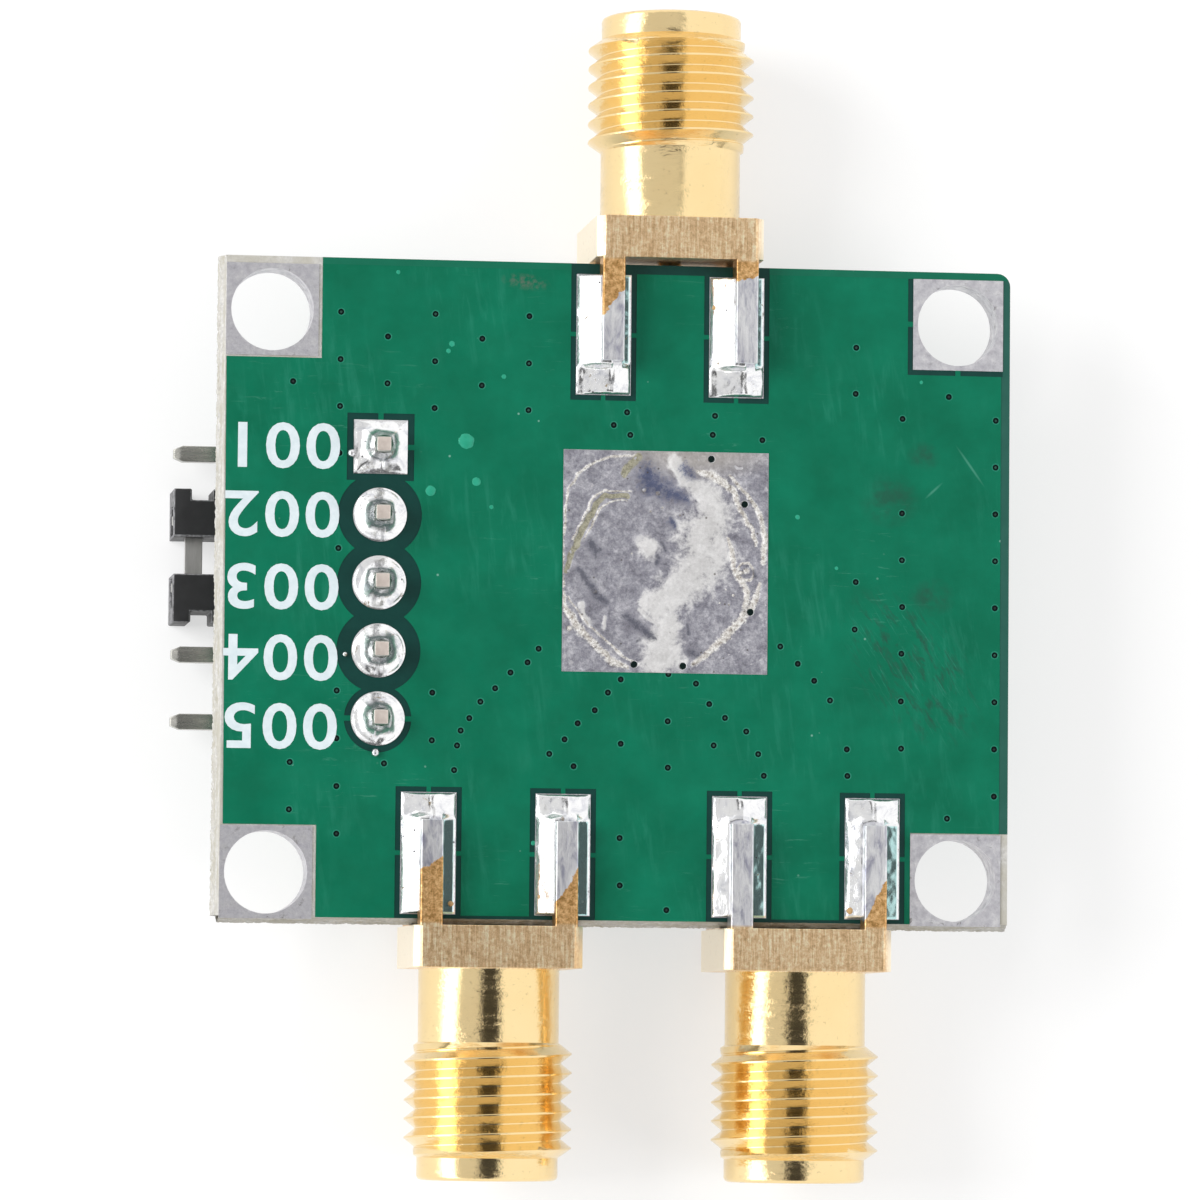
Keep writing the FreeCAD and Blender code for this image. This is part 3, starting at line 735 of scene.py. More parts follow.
def copies(pattern, places, name):
    """Copies of a piece at several places, joined."""
    made = []
    for place in places:
        only(pattern)
        bpy.ops.object.duplicate(linked=False)
        copy = bpy.context.object
        copy.location = Vector(place) * mm
        made.append(settle(copy))
    bpy.data.objects.remove(pattern)
    return joined(made, name)


def drops(name, places, profile, lean_share, lean_scale, seed, base, rise):
    """Uneven round drops at several places, from a profile of (radius, height) shares."""
    made = []
    for x, y, radius in places:
        drop = lathe(name, profile, 20)
        for vertex in drop.data.vertices:
            px, py, pz = vertex.co / mm
            lean = 1.0 + lean_share * noise.noise(Vector((px * lean_scale + x, py * lean_scale + y, seed)))
            vertex.co = Vector((x + px * radius * lean, y + py * radius * lean,
                                base + pz * radius * rise)) * mm
        made.append(drop)
    return joined(made, name)


via_bottom = 0.002
via_profile = [(0.0, 0.016), (0.045, 0.014), (0.058, via_bottom), (via_bore, via_bottom),
               (via_bore, mask_top - 0.004), (0.128, mask_top + 0.006), (via_rim, mask_top + 0.001),
               (via_rim, via_bottom - 0.002), (0.0, via_bottom - 0.002)]
via_rims = copies(lathe("via", via_profile, 16), [(x, y, 0) for x, y in vias], "via_rims")
via_halo = Finish("via_halo", roughness=0.36, gloss=0.25)
via_halo.mottle((0.6,), (0.003, 0.150, 0.082), (0.016, 0.220, 0.145))
via_dark = Finish("via_bore_shadow", roughness=0.6, gloss=0.1)
via_dark.mottle((6.0,), (0.001, 0.005, 0.005), (0.003, 0.012, 0.010))
via_plug = Finish("via_plug", roughness=0.5)
via_plug.feed("Base Color", via_plug.mix(via_plug.rise(via_plug.cloud(0.45, 2.0), 0.42, 0.58),
                                         (0.002, 0.008, 0.008), (0.010, 0.065, 0.045)))
dress(via_rims, via_halo, via_dark, via_plug)
for face in via_rims.data.polygons:
    height = face.center.z / mm
    face.material_index = 0 if height > mask_top - 0.008 else 2 if 0.013 < height < 0.018 else 1
keep(via_rims, "laminate")

# Flux droplets: x, y and radius
drop_places = [(-5.67, 5.71, 0.30), (-5.28, 4.19, 0.17), (-7.0, 3.81, 0.20), (-6.25, 9.35, 0.11),
               (-6.38, 9.08, 0.09), (-4.28, 8.16, 0.09), (-8.3, 12.0, 0.08), (-4.7, 3.25, 0.08),
               (6.9, 3.1, 0.09), (8.4, 1.2, 0.07), (-3.0, -9.3, 0.09), (4.9, -8.9, 0.08), (11.6, 8.3, 0.07)]
drop_profile = [(0.0, 0.10), (0.35, 0.095), (0.7, 0.07), (0.92, 0.03), (1.0, -0.02)]
droplets = drops("flux_droplets", drop_places, drop_profile, 0.12, 2, 0.0, mask_top, 1.6)
droplet = Finish("flux_droplet", roughness=0.3, gloss=0.3)
droplet.mottle((6.0, 4.0), (0.008, 0.24, 0.135), (0.030, 0.36, 0.235))
droplet.bump(droplet.cloud(9.0, 3.0), 0.3, 0.01)
keep(dress(droplets, droplet), "laminate")


# Legend: white screen ink beside each pin, read from the far side of the board.
# Plain numbers stand beside the five pins.
legend_size = 2.36
legend_x = -12.55
legend_ink = 0.012
legend_rows = [5.50, 2.93, 0.22, -2.42, -4.98]
legend_weight = 0.035
weight_by_hand = 3


def fattened(piece, amount):
    """Move the walls of a flat figure outwards, with mitred corners."""
    mended(piece, 0.012)
    walls = {}
    for face in piece.data.polygons:
        if abs(face.normal.z) < 0.5:
            for index in face.vertices:
                walls.setdefault(index, []).append(face.normal.copy())
    for index, sides in walls.items():
        first, second = sides[0], sides[-1]
        piece.data.vertices[index].co += (first + second) / (1.0 + first.dot(second)) * amount * mm


numbers = []
for index, y in enumerate(legend_rows):
    bpy.ops.object.text_add(location=Vector((legend_x, y, mask_top - 0.004)) * mm, rotation=(0, 0, math.pi))
    number = bpy.context.object
    number.scale.x = 1.14
    number.data.body = "00" + str(index + 1)
    number.data.size = legend_size * mm
    number.data.align_x = "CENTER"
    number.data.align_y = "CENTER"
    number.data.offset = 0.0 if index == weight_by_hand else legend_weight * mm
    number.data.extrude = legend_ink * mm
    number.data.space_character = 1.12
    number.data.resolution_u = 5
    bpy.ops.object.convert(target="MESH")
    numbers.append(settle(bpy.context.object))
# The text's own offset folds the narrow counter of the figure 4, so that number gets its weight here
fattened(numbers[weight_by_hand], legend_weight)
legend = joined(numbers, "legend_numbers")
ink = Finish("white_ink", roughness=0.6)
ink.feed("Base Color", ink.mix(ink.rise(ink.cloud(2.4, 5.0, 0.7), 0.3, 0.7), (0.54, 0.63, 0.66),
                               (0.66, 0.73, 0.76)))
ink.bump(ink.cloud(9.0, 3.0), 0.3, 0.01)
keep(dress(legend, ink), "laminate")


# Tinned lands: dull hot-air tin over copper, mottled grey lilac, with dark flux spots.
# They keep the shapes of the solids.
tin = Finish("dull_tin", roughness=0.42, metallic=0.85)
tin_mottle = tin.cloud(3.2, 6.0, 0.65)
tin_tone = tin.ramp(tin_mottle, (0.30, (0.48, 0.47, 0.51)), (0.55, (0.66, 0.65, 0.68)),
                    (0.75, (0.84, 0.83, 0.84)))
tin_dirt = tin.times(tin.rise(tin.cloud(2.6, 8.0, 0.8, bend=0.4), 0.575, 0.635),
                     tin.ramp(tin.cloud(0.55, 3.0), (0.46, 0.15), (0.60, 1.0)))
tin.feed("Base Color", tin.mix(tin.times(tin_dirt, 0.85), tin_tone, (0.11, 0.095, 0.085)))
tin.feed("Roughness", tin.ramp(tin_mottle, (0.3, 0.50), (0.7, 0.30)))
tin.bump(tin.cloud(9.0, 5.0, 0.6), 0.5, 0.02)
for node in ("corner_plating", "leg_lands", "signal_lands", "header_eyelets", "chip_lands",
             "small_part_lands", "ground_pad"):
    dress(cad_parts[node], tin)


# Coaxial jacks: gold-plated brass, the square flange and its four legs milled, the barrel turned and
# threaded 1/4-36. The legs straddle the board edge, and hot solder has tinned them from their tips.
flange_side = 6.35
flange_thickness = 1.57
neck_radius = 2.65
neck_length = 2.77
crest_radius = 3.15
root_radius = 2.76
thread_length = 4.3
thread_lead = 0.35
thread_pitch = 0.7056
collar_length = 0.85
mouth_radius = 2.3
mouth_depth = 1.9
bush_radius = 2.05
leg_width = 0.85
leg_length = 3.9
foil = 0.05
thread_start = flange_thickness + neck_length
thread_end = thread_start + thread_length
mouth_y = thread_end + collar_length
reference_y = mouth_y - mouth_depth

# Where the tin ends on each upper leg: y at its left side and at its right side
tin_edges = {
    ("common", -1): (10.49, 11.46), ("common", 1): (11.82, 12.11),
    ("port_1", -1): (-10.33, -9.86), ("port_1", 1): (-11.60, -10.25),
    ("port_2", -1): (-14.0, -13.8), ("port_2", 1): (-12.10, -10.40),
}


def jack_frame(name, outward):
    """Axis x, flange back y and axis z of a jack, in millimetres."""
    low, high = [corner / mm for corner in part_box(name + "_body")]
    back = high.y - mouth_y if outward > 0 else low.y + mouth_y
    return (low.x + high.x) / 2, back, high.z - flange_side / 2


def thread(name):
    """The thread: a grid whose rows follow the helix, wrapped round the barrel."""
    # Share of a turn and share of the depth, from one root to the next
    crest_shape = [(0.00, 0.84), (0.04, 0.97), (0.09, 1.0), (0.14, 0.97), (0.18, 0.84), (0.52, 0.07),
                   (0.56, 0.0), (0.62, 0.0), (0.66, 0.07)]
    turns = 8
    rows = turns * len(crest_shape)
    bpy.ops.mesh.primitive_grid_add(x_subdivisions=96, y_subdivisions=rows, size=1)
    helix = bpy.context.object
    helix.name = name
    for vertex in helix.data.vertices:
        turn = vertex.co.x + 0.5
        row = round((vertex.co.y + 0.5) * rows)
        phase, share = crest_shape[row % len(crest_shape)]
        y = thread_start + (row // len(crest_shape) - 1.29 + phase + turn) * thread_pitch
        y = min(max(y, thread_start), thread_end)
        radius = root_radius + (crest_radius - root_radius) * share
        rise = min(y - thread_start, thread_end - y) / thread_lead
        radius = min(radius, neck_radius + (crest_radius - neck_radius) * rise)
        angle = turn * 2 * math.pi
        vertex.co = Vector((math.sin(angle) * radius, y, math.cos(angle) * radius)) * mm
    return mended(helix, 0.002, 35)


def rounding(piece, width, segments, angle):
    """Round a piece's edges that are sharper than an angle."""
    modifier = piece.modifiers.new("rounding", "BEVEL")
    modifier.width = width * mm
    modifier.segments = segments
    modifier.limit_method = "ANGLE"
    modifier.angle_limit = math.radians(angle)
    modifier.harden_normals = False
    return apply_all(piece)


def flatten(piece):
    """Smooth shading in which the large faces stay flat between their rounded edges."""
    only(piece)
    bpy.ops.object.shade_smooth_by_angle(angle=math.radians(50))
    weighting = piece.modifiers.new("weighting", "WEIGHTED_NORMAL")
    weighting.weight = 100
    weighting.keep_sharp = True
    bpy.ops.object.modifier_apply(modifier=weighting.name)
    return piece


def bar_along_y(name, x0, x1, y0, y1, z0, z1, radius, segments):
    """A bar with rounded long edges and barely broken end edges."""
    bar = block(name, x0, x1, y0, y1, z0, z1)
    bevelled(bar, lambda first, second: abs(first.y - second.y) > 0.5 * abs(y1 - y0), radius, segments)
    return flatten(rounding(bar, 0.03, 2, 35))


def barrel():
    """Neck, collar, mouth and bore, turned about the jack's axis."""
    neck = [(neck_radius + 0.06, flange_thickness - 0.02), (neck_radius, flange_thickness + 0.06),
            (neck_radius, thread_start)]
    front = [(neck_radius, thread_end), (neck_radius, mouth_y - 0.15), (neck_radius - 0.04, mouth_y - 0.06),
             (neck_radius - 0.15, mouth_y), (mouth_radius + 0.04, mouth_y), (mouth_radius, mouth_y - 0.05),
             (mouth_radius, reference_y), (bush_radius, reference_y), (bush_radius, 0.0)]
    return [lathe("neck", neck, 96, (0, 1, 0)), lathe("front", front, 96, (0, 1, 0))]


def painted_layers(piece, *names):
    """New values on a piece's points, one list for each name."""
    for name in names:
        piece.data.attributes.new(name, "FLOAT", "POINT")
    return [piece.data.attributes[name].data for name in names]


gold = Finish("gold_plating", roughness=0.15, metallic=1.0)
turned_part = gold.painted("turned")
side_wall_highlight_here = gold.painted("side_wall_highlight")
leg_here = gold.rise(gold.painted("leg"), 0.02, 0.12)
peened = gold.cloud(7.0, 4.0, 0.75)
# Milled faces with fine lines, side walls with a painted highlight, darker legs, and the turned barrel
milled_lines = gold.streaks((9.0, 0.6, 0.8), 6.0, 0.8)
milled_grain = gold.sum(gold.times(milled_lines, 0.6), gold.times(peened, 0.4))
milled_tone = gold.ramp(milled_grain, (0.38, (0.55, 0.34, 0.17)), (0.50, (0.86, 0.60, 0.34)),
                        (0.60, (1.0, 0.88, 0.62)))
# The flange's side walls are painted lighter: a painted highlight
milled_tone = gold.mix(side_wall_highlight_here, milled_tone, (1.0, 0.90, 0.72))
turned_tone = gold.mix(gold.cloud(0.5, 3.0), (0.88, 0.66, 0.33), (0.94, 0.74, 0.41))
leg_tone = gold.ramp(peened, (0.36, (0.46, 0.25, 0.08)), (0.50, (0.76, 0.43, 0.17)),
                     (0.64, (1.0, 0.68, 0.34)))
gold_tone = gold.mix(leg_here, gold.mix(turned_part, milled_tone, turned_tone), leg_tone)
gold_dirt = gold.rise(gold.cloud(5.0, 7.0, 0.75), 0.60, 0.66)
gold_tone = gold.mix(gold.times(gold_dirt, 0.30), gold_tone, (0.30, 0.17, 0.07))
turned_lines = gold.streaks((0.35, 8.0, 0.35), 4.0, 0.7)
gold_rough = gold.mix(turned_part, gold.ramp(peened, (0.3, 0.30), (0.7, 0.42)),
                      gold.ramp(turned_lines, (0.35, 0.10), (0.65, 0.18)))
# The tin ends on each leg in a ragged line
ragged = gold.sum(gold.painted("tinned"), gold.times(gold.sum(gold.cloud(2.4, 6.0, 0.7), -0.5), 0.9))
tin_here = gold.times(gold.rise(ragged, 0.0, 0.02), leg_here)
tin_streaks = gold.streaks((3.0, 0.9, 3.0), 6.0, 0.65, 0.6)
tin_grain = gold.ramp(tin_streaks, (0.34, (0.42, 0.42, 0.52)), (0.48, (0.76, 0.76, 0.80)),
                      (0.62, (0.95, 0.95, 0.96)))
gold.feed("Base Color", gold.mix(tin_here, gold_tone, tin_grain))
gold.feed("Roughness", gold.mix(tin_here, gold_rough, (0.34, 0.34, 0.34)))
turned_rough = gold.rise(gold.streaks((0.8, 2.2, 0.8), 3.0, 0.6), 0.50, 0.66)
turned_grain = gold.times(gold.times(gold.cloud(6.5, 4.0, 0.65), 2.8), gold.sum(turned_rough, 0.35))
turned_relief = gold.sum(gold.times(turned_lines, 0.7), turned_grain)
milled_relief = gold.times(gold.sum(milled_lines, peened), gold.ramp(side_wall_highlight_here, (0.0, 1.1), (1.0, 0.25)))
gold.bump(gold.mix(turned_part, milled_relief, turned_relief), 0.5, 0.012)

for name, land_x, edge, outward in jacks:
    axis_x, back, axis_z = jack_frame(name, outward)
    half = flange_side / 2
    pieces = [bar_along_y("flange", -half, half, 0.0, flange_thickness, -half, half, 0.33, 1)]
    for side in (-1, 1):
        x0, x1 = sorted((side * (leg_pitch - leg_width) / 2, side * (leg_pitch + leg_width) / 2))
        for z0, z1 in ((foil - axis_z, half), (-half, -thickness - foil - axis_z)):
            pieces.append(bar_along_y("leg", x0, x1, -leg_length, 0.04, z0, z1, 0.07, 2))
    body = joined(pieces + barrel() + [thread("thread")], name + "_gold_body")
    body.location = Vector((axis_x, back, axis_z)) * mm
    if outward < 0:
        body.rotation_euler.z = math.pi
    settle(body)
    tinned, turned, leg_part, side_wall_highlight = painted_layers(body, "tinned", "turned", "leg", "side_wall_highlight")
    for vertex in body.data.vertices:
        x, y, z = vertex.co / mm
        in_barrel = math.hypot(x - axis_x, z - axis_z) < crest_radius + 0.01
        beyond_flange = (y - back) * outward > flange_thickness + 0.01
        turned[vertex.index].value = 1.0 if beyond_flange and in_barrel else 0.0
        leg_part[vertex.index].value = (back - y) * outward
        side_wall_highlight[vertex.index].value = 1.0 if abs(x - axis_x) > half - 0.05 else 0.0
        side = 1 if x > axis_x else -1
        left, right = tin_edges[(name, side)]
        leg_x = axis_x + side * leg_pitch / 2
        share = min(max((x - leg_x) / leg_width + 0.5, 0.0), 1.0)
        if z < 0:
            left, right = right, left
        tinned[vertex.index].value = (left + (right - left) * share - y) * outward
    keep(dress(body, gold), "gold_brass", name + "_body")

# Fluoropolymer bush and gold socket of each jack
fluoro = Finish("fluoropolymer", roughness=0.38)
fluoro.mottle((1.5, 4.0), (0.74, 0.80, 0.76), (0.86, 0.88, 0.84))
fluoro.set("Subsurface Weight", 0.25)
fluoro.set("Subsurface Radius", (0.8 * mm, 0.8 * mm, 0.8 * mm))
fluoro.bump(fluoro.streaks((6.0, 1.0, 6.0), 3.0), 0.25, 0.01)
contact_gold = Finish("contact_gold", roughness=0.2, metallic=1.0)
contact_gold.mottle((1.4, 4.0), (0.80, 0.55, 0.22), (0.88, 0.66, 0.32))
contact_gold.bump(contact_gold.cloud(9.0, 3.0), 0.2, 0.01)
for name, land_x, edge, outward in jacks:
    dress(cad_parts[name + "_insulator"], fluoro)
    dress(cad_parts[name + "_contact"], contact_gold)


# Leg solder: hand-soldered with an iron, so the fillets are concave, uneven and bright, with flux
# residue and dark pits of painted shade. Each mound runs from the rim of its land up the sides and the tip of
# its leg.
# The strip right of each leg froze undisturbed: it is smoother and darker, and its teal tint is a painted
# reflection.
solder = Finish("bright_solder", roughness=0.16, metallic=0.95)
solder_flow = solder.cloud(2.0, 6.0, 0.6, bend=0.8)
solder_tone = solder.ramp(solder_flow, (0.30, (0.60, 0.61, 0.66)), (0.48, (0.86, 0.86, 0.87)),
                          (0.70, (0.95, 0.95, 0.94)))
# Pits: dark spots of painted shade, with no hollow in the mesh
pit_shade_here = solder.times(solder.ramp(solder.cells(2.2), (0.07, 1.0), (0.13, 0.0)),
                        solder.rise(solder.cloud(0.9, 3.0), 0.50, 0.58))
flux_here = solder.rise(solder.cloud(1.2, 6.0, 0.75, bend=1.0), 0.62, 0.67)
calm_strip_teal_reflection = solder.painted("calm")
# The calm strip gets a painted teal reflection in its base colour; flux and pits lie on top of it
for where, tone in ((calm_strip_teal_reflection, (0.50, 0.75, 0.74)), (flux_here, (0.22, 0.17, 0.10)),
                    (pit_shade_here, (0.05, 0.045, 0.05))):
    solder_tone = solder.mix(where, solder_tone, tone)
solder.feed("Base Color", solder_tone)
solder.feed("Metallic", solder.mix(solder.most(flux_here, pit_shade_here),
                                   solder.ramp(calm_strip_teal_reflection, (0.0, 0.92), (1.0, 0.86)), (0.1, 0.1, 0.1)))
solder.feed("Roughness", solder.mix(calm_strip_teal_reflection, solder.ramp(solder_flow, (0.3, 0.24), (0.7, 0.10)),
                                    (0.07, 0.07, 0.07)))
solder.bump(solder.times(solder.sum(solder.cloud(3.4, 5.0, 0.6), -0.5),
                         solder.ramp(calm_strip_teal_reflection, (0.0, 1.0), (1.0, 0.12))), 0.42, 0.045)


def height_field(name, x0, x1, y0, y1, step, height, faces_up=True):
    """A grid over a rectangle of the board, in millimetres, lifted by a function of x and y."""
    across = max(4, int((x1 - x0) / step))
    along = max(4, int((y1 - y0) / step))
    bpy.ops.mesh.primitive_grid_add(x_subdivisions=across, y_subdivisions=along, size=1)
    sheet = bpy.context.object
    sheet.name = name
    sheet.data.name = name
    for vertex in sheet.data.vertices:
        x = x0 + (x1 - x0) * (vertex.co.x + 0.5)
        y = y0 + (y1 - y0) * (vertex.co.y + 0.5)
        vertex.co = Vector((x, y, height(x, y))) * mm
    only(sheet)
    bpy.ops.object.shade_smooth()
    if not faces_up:
        bpy.ops.object.mode_set(mode="EDIT")
        bpy.ops.mesh.select_all(action="SELECT")
        bpy.ops.mesh.flip_normals()
        bpy.ops.object.mode_set(mode="OBJECT")
    return sheet


def smooth_step(value):
    """0 below 0, 1 above 1, and a soft rise between."""
    value = min(max(value, 0.0), 1.0)
    return value * value * (3 - 2 * value)


def leg_fillet(leg_x, tip_y, outward, x0, x1, y0, y1, top, steep, seed):
    """Height over the land of the solder round one leg."""
    def height(x, y):
        left_side = x < leg_x
        wave = noise.noise(Vector((x * 0.9, y * 0.7, seed))) * 0.5 + 0.5
        fine = noise.noise(Vector((x * 2.6, y * 2.2, seed + 4.0)))
        aside = max(abs(x - leg_x) - leg_width / 2, 0.0)
        beyond = max((tip_y - y) * outward, 0.0)
        lively = left_side or beyond > 0
        inside = min(x - x0, x1 - x, y - y0, y1 - y)
        rim = smooth_step((inside + 0.02 * fine) / (0.05 + 0.05 * wave) * (1.0 if lively else 1.8))
        # Beside the leg: a straight slope on the left, a short climb and a calm flat strip on the right
        if left_side:
            room = leg_x - leg_width / 2 - x0
            swell = noise.noise(Vector((x * 1.5, y * 1.1, seed + 9.0)))
            flank = 0.06 + steep * (0.92 + 0.16 * wave) * max(room - aside, 0.0) + 0.05 * swell + 0.02 * fine
        else:
            flank = 0.05 + top * 0.5 * math.exp(-aside / 0.012) + 0.004 * fine
        # Beyond the tip: a low roof with a crease along its ridge
        ridge_x = leg_x + 0.10 * noise.noise(Vector((y * 1.5, seed, 0.0)))
        roof = 0.06 + 0.38 * max(1.0 - abs(x - ridge_x) / 1.04, 0.0) + 0.03 * fine
        roof += top * 0.8 * math.exp(-(beyond + aside * 0.6) / (0.11 + 0.05 * wave))
        share = smooth_step(beyond / 0.3)
        crease = 0.05 * math.exp(-((x - ridge_x) / 0.07) ** 2) * share
        pocks = 0.012 * noise.noise(Vector((x * 6.0, y * 5.0, seed))) * (1.0 if lively else 0.2)
        return max((flank * (1 - share) + (roof - crease) * share + pocks) * rim, 0.0) + 0.004
    return height


def contact_fillet(centre, low, high, start, end):
    """Height of the solder round the rear pin of a contact, on the component side."""
    def height(x, y):
        away = max(abs(x - centre) - 0.40, 0.0)
        rim = smooth_step(min(x - low, high - x, y - start, end - y) / 0.14)
        wave = noise.noise(Vector((x * 1.7, y * 1.4, 2.0))) * 0.5 + 0.5
        return -thickness - foil - (0.004 + rim * (0.05 + 0.36 * math.exp(-away / (0.16 + 0.1 * wave))))
    return height


# How steeply the left flank climbs to the leg, as rise over run
flank_slopes = {"common": 0.84, "port_1": 0.82, "port_2": 0.60}
leg_mound_height = 0.72
land_border = 0.02
signal_length = 2.6
signal_half = 0.68
for name, land_x, edge, outward in jacks:
    axis_x, back, axis_z = jack_frame(name, outward)
    mounds = []
    tip_y = back - outward * leg_length
    y0, y1 = land_span(edge, outward, land_length)
    y0, y1 = y0 + land_border, y1 - land_border
    for side in (-1, 1):
        x = land_x + side * leg_pitch / 2
        x0, x1 = x - land_width / 2 + land_border, x + land_width / 2 - land_border
        for upper in (True, False):
            shape = leg_fillet(axis_x + side * leg_pitch / 2, tip_y, outward, x0, x1, y0, y1,
                               leg_mound_height, flank_slopes[name], land_x + side + upper)
            if upper:
                lift = lambda px, py, shape=shape: foil + shape(px, py)
            else:
                lift = lambda px, py, shape=shape: -thickness - foil - shape(px, py)
            mounds.append(height_field("mound", x0, x1, y0, y1, 0.055, lift, upper))
    y0, y1 = land_span(edge, outward, signal_length)
    x0, x1 = land_x - signal_half, land_x + signal_half
    mounds.append(height_field("mound", x0, x1, y0, y1, 0.05, contact_fillet(axis_x, x0, x1, y0, y1), False))
    mound = joined(mounds, name + "_solder_fillets")
    calm = painted_layers(mound, "calm")[0]
    for vertex in mound.data.vertices:
        px, py, pz = vertex.co / mm
        leg_offset = math.copysign(leg_pitch / 2, px - axis_x)
        beside = px - (axis_x + leg_offset) - leg_width / 2
        before_rim = land_x + leg_offset + land_width / 2 - px > 0.13
        on_strip = beside > 0.02 and before_rim and pz > 0 and (py - tip_y) * outward > 0
        calm[vertex.index].value = 1.0 if on_strip else 0.0
    keep(dress(mound, solder), "solder", name + "_solder")

# Amber beads of flux in the corners between legs and board edge: x, y and radius
amber = Finish("amber_flux", roughness=0.12)
amber.mottle((5.0, 4.0), (0.36, 0.17, 0.05), (0.70, 0.48, 0.24))
amber.bump(amber.cloud(7.0, 3.0), 0.3, 0.02)
amber_places = [(3.75, 10.95, 0.19), (3.95, 10.50, 0.14), (-2.58, -11.66, 0.20), (-2.72, -11.30, 0.12),
                (9.00, -11.68, 0.15), (-6.08, -11.60, 0.11)]
amber_profile = [(0.0, 0.16), (0.35, 0.15), (0.7, 0.11), (0.92, 0.05), (1.0, -0.20)]
flux_beads = drops("flux_beads", amber_places, amber_profile, 0.3, 1.5, 3.0, foil + 0.13, 3.0)
keep(dress(flux_beads, amber), "solder")


# Header joints: wave-like cones of solder that climb each square pin tail, bright with a dark ring at
# the pin. The first land is square, so its solder spreads into the four corners. A plug below fills
# the plated hole.
joint_height = 0.95


def joint_shape(centre_y, square, seed):
    """Height over one header land of the solder round its pin."""
    def height(x, y):
        dx = x - header_x
        dy = y - centre_y
        reach = max(abs(dx), abs(dy)) if square else math.hypot(dx, dy)
        away = max(0.5 * math.hypot(dx, dy) + 0.5 * max(abs(dx), abs(dy)) - 0.29, 0.0)
        angle = math.atan2(dy, dx)
        lean = 1.0 + 0.18 * math.cos(angle - seed) + 0.12 * math.cos(2 * angle + seed)
        climb = joint_height * math.exp(-away / (0.155 * lean))
        fullness = 0.6 + 0.4 * abs(math.sin(2 * angle)) if square else 1.0
        dome = 0.20 * fullness * (1.0 - (reach / land_radius) ** 2)
        crease = 0.06 * math.exp(-((dx - 0.04) / 0.05) ** 2) if dy < -0.3 else 0.0
        wave = 0.07 * noise.noise(Vector((x * 2.3, y * 2.3, seed))) - crease
        rim = smooth_step((land_radius - reach) / 0.12)
        return foil + 0.004 + max(climb + dome + wave, 0.02) * rim
    return height


def ball(x, y, z, radius, segments, rings):
    """A small sphere, in millimetres."""
    bpy.ops.mesh.primitive_uv_sphere_add(segments=segments, ring_count=rings, radius=radius * mm,
                                         location=Vector((x, y, z)) * mm)
    bpy.ops.object.shade_smooth()
    return settle(bpy.context.object, "ball")


joints = []
for index, y in enumerate(header_rows):
    square = index == 0
    shape = joint_shape(y, square, 1.3 + index * 1.9)
    if square:
        joints.append(height_field("joint", header_x - land_radius, header_x + land_radius, y - land_radius,
                                   y + land_radius, 0.045, shape))
    else:
        disc = lathe("joint", [(land_radius * share / 22, foil) for share in range(23)], 56)
        for vertex in disc.data.vertices:
            px, py = vertex.co.x / mm + header_x, vertex.co.y / mm + y
            vertex.co = Vector((px, py, shape(px, py))) * mm
        mended(disc, 0.0)
        if disc.data.polygons[0].normal.z < 0:
            bpy.ops.object.mode_set(mode="EDIT")
            bpy.ops.mesh.flip_normals()
            bpy.ops.object.mode_set(mode="OBJECT")
        bpy.ops.object.shade_smooth()
        joints.append(disc)
    joints.append(post("plug", header_x, y, 0.5, -thickness - foil, 0.02, 32))
solder_balls = [(-9.98, 5.16, 0.15), (-8.97, -6.02, 0.15), (-10.15, -2.36, 0.09)]
for x, y, radius in solder_balls:
    joints.append(ball(x, y, mask_top + radius * 0.7, radius, 20, 12))
    for vertex in joints[-1].data.vertices:
        vertex.co.z = max(vertex.co.z, (mask_top - 0.01) * mm)
keep(dress(joined(joints, "header_joints"), solder), "solder", "header_solder")


# Pins, header strip and jumper cap: square brass pins with dull tin, bent over to the board edge;
# glass-filled nylon mouldings with softened edges; and the folded clip inside the cap.
def softened(node, name, radius, segments=2):
    """A copy of a CAD node with its edges rounded."""
    only(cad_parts[node])
    bpy.ops.object.duplicate(linked=False)
    copy = bpy.context.object
    copy.name = name
    copy.hide_render = False
    only(copy)
    bpy.ops.object.mode_set(mode="EDIT")
    bpy.ops.mesh.select_mode(type="VERT")
    bpy.ops.mesh.select_all(action="SELECT")
    bpy.ops.mesh.remove_doubles(threshold=0.002 * mm)
    bpy.ops.mesh.tris_convert_to_quads(face_threshold=math.radians(2), shape_threshold=math.radians(60))
    mended(copy, 0.0)
    return flatten(rounding(copy, radius, segments, 30))


pin_tin = Finish("dull_pin_tin", roughness=0.28, metallic=0.9)
pin_grain = pin_tin.streaks((0.8, 6.0, 6.0), 5.0, 0.6)
pin_tin.feed("Base Color", pin_tin.ramp(pin_grain, (0.30, (0.40, 0.40, 0.37)), (0.60, (0.54, 0.53, 0.49)),
                                        (0.78, (0.66, 0.64, 0.60))))
pin_tin.feed("Roughness", pin_tin.ramp(pin_grain, (0.3, 0.32), (0.7, 0.20)))
pin_tin.bump(pin_grain, 0.3, 0.012)
cut_end = Finish("cut_pin_end", roughness=0.42, metallic=0.55)
cut_end.mottle((5.0, 4.0, 0.6), (0.50, 0.42, 0.37), (0.78, 0.70, 0.64))
cut_end.bump(cut_end.cloud(8.0, 4.0), 0.3, 0.012)
# The cut ends above the solder are a little wider than the pins
tail_width = 1.5
for index, pin_y in enumerate(header_rows):
    pin = softened("header_pin_" + str(index + 1), "square_pin_" + str(index + 1), 0.03)
    for vertex in pin.data.vertices:
        if vertex.co.z > 1.2 * mm:
            vertex.co.x = (header_x + (vertex.co.x / mm - header_x) * tail_width) * mm
            vertex.co.y = (pin_y + (vertex.co.y / mm - pin_y) * tail_width) * mm
    dress(pin, pin_tin, cut_end)
    for face in pin.data.polygons:
        face.material_index = 1 if face.normal.z > 0.8 and face.center.z > 1.3 * mm else 0
    keep(pin, "tinned_pin", "header_pin_" + str(index + 1))

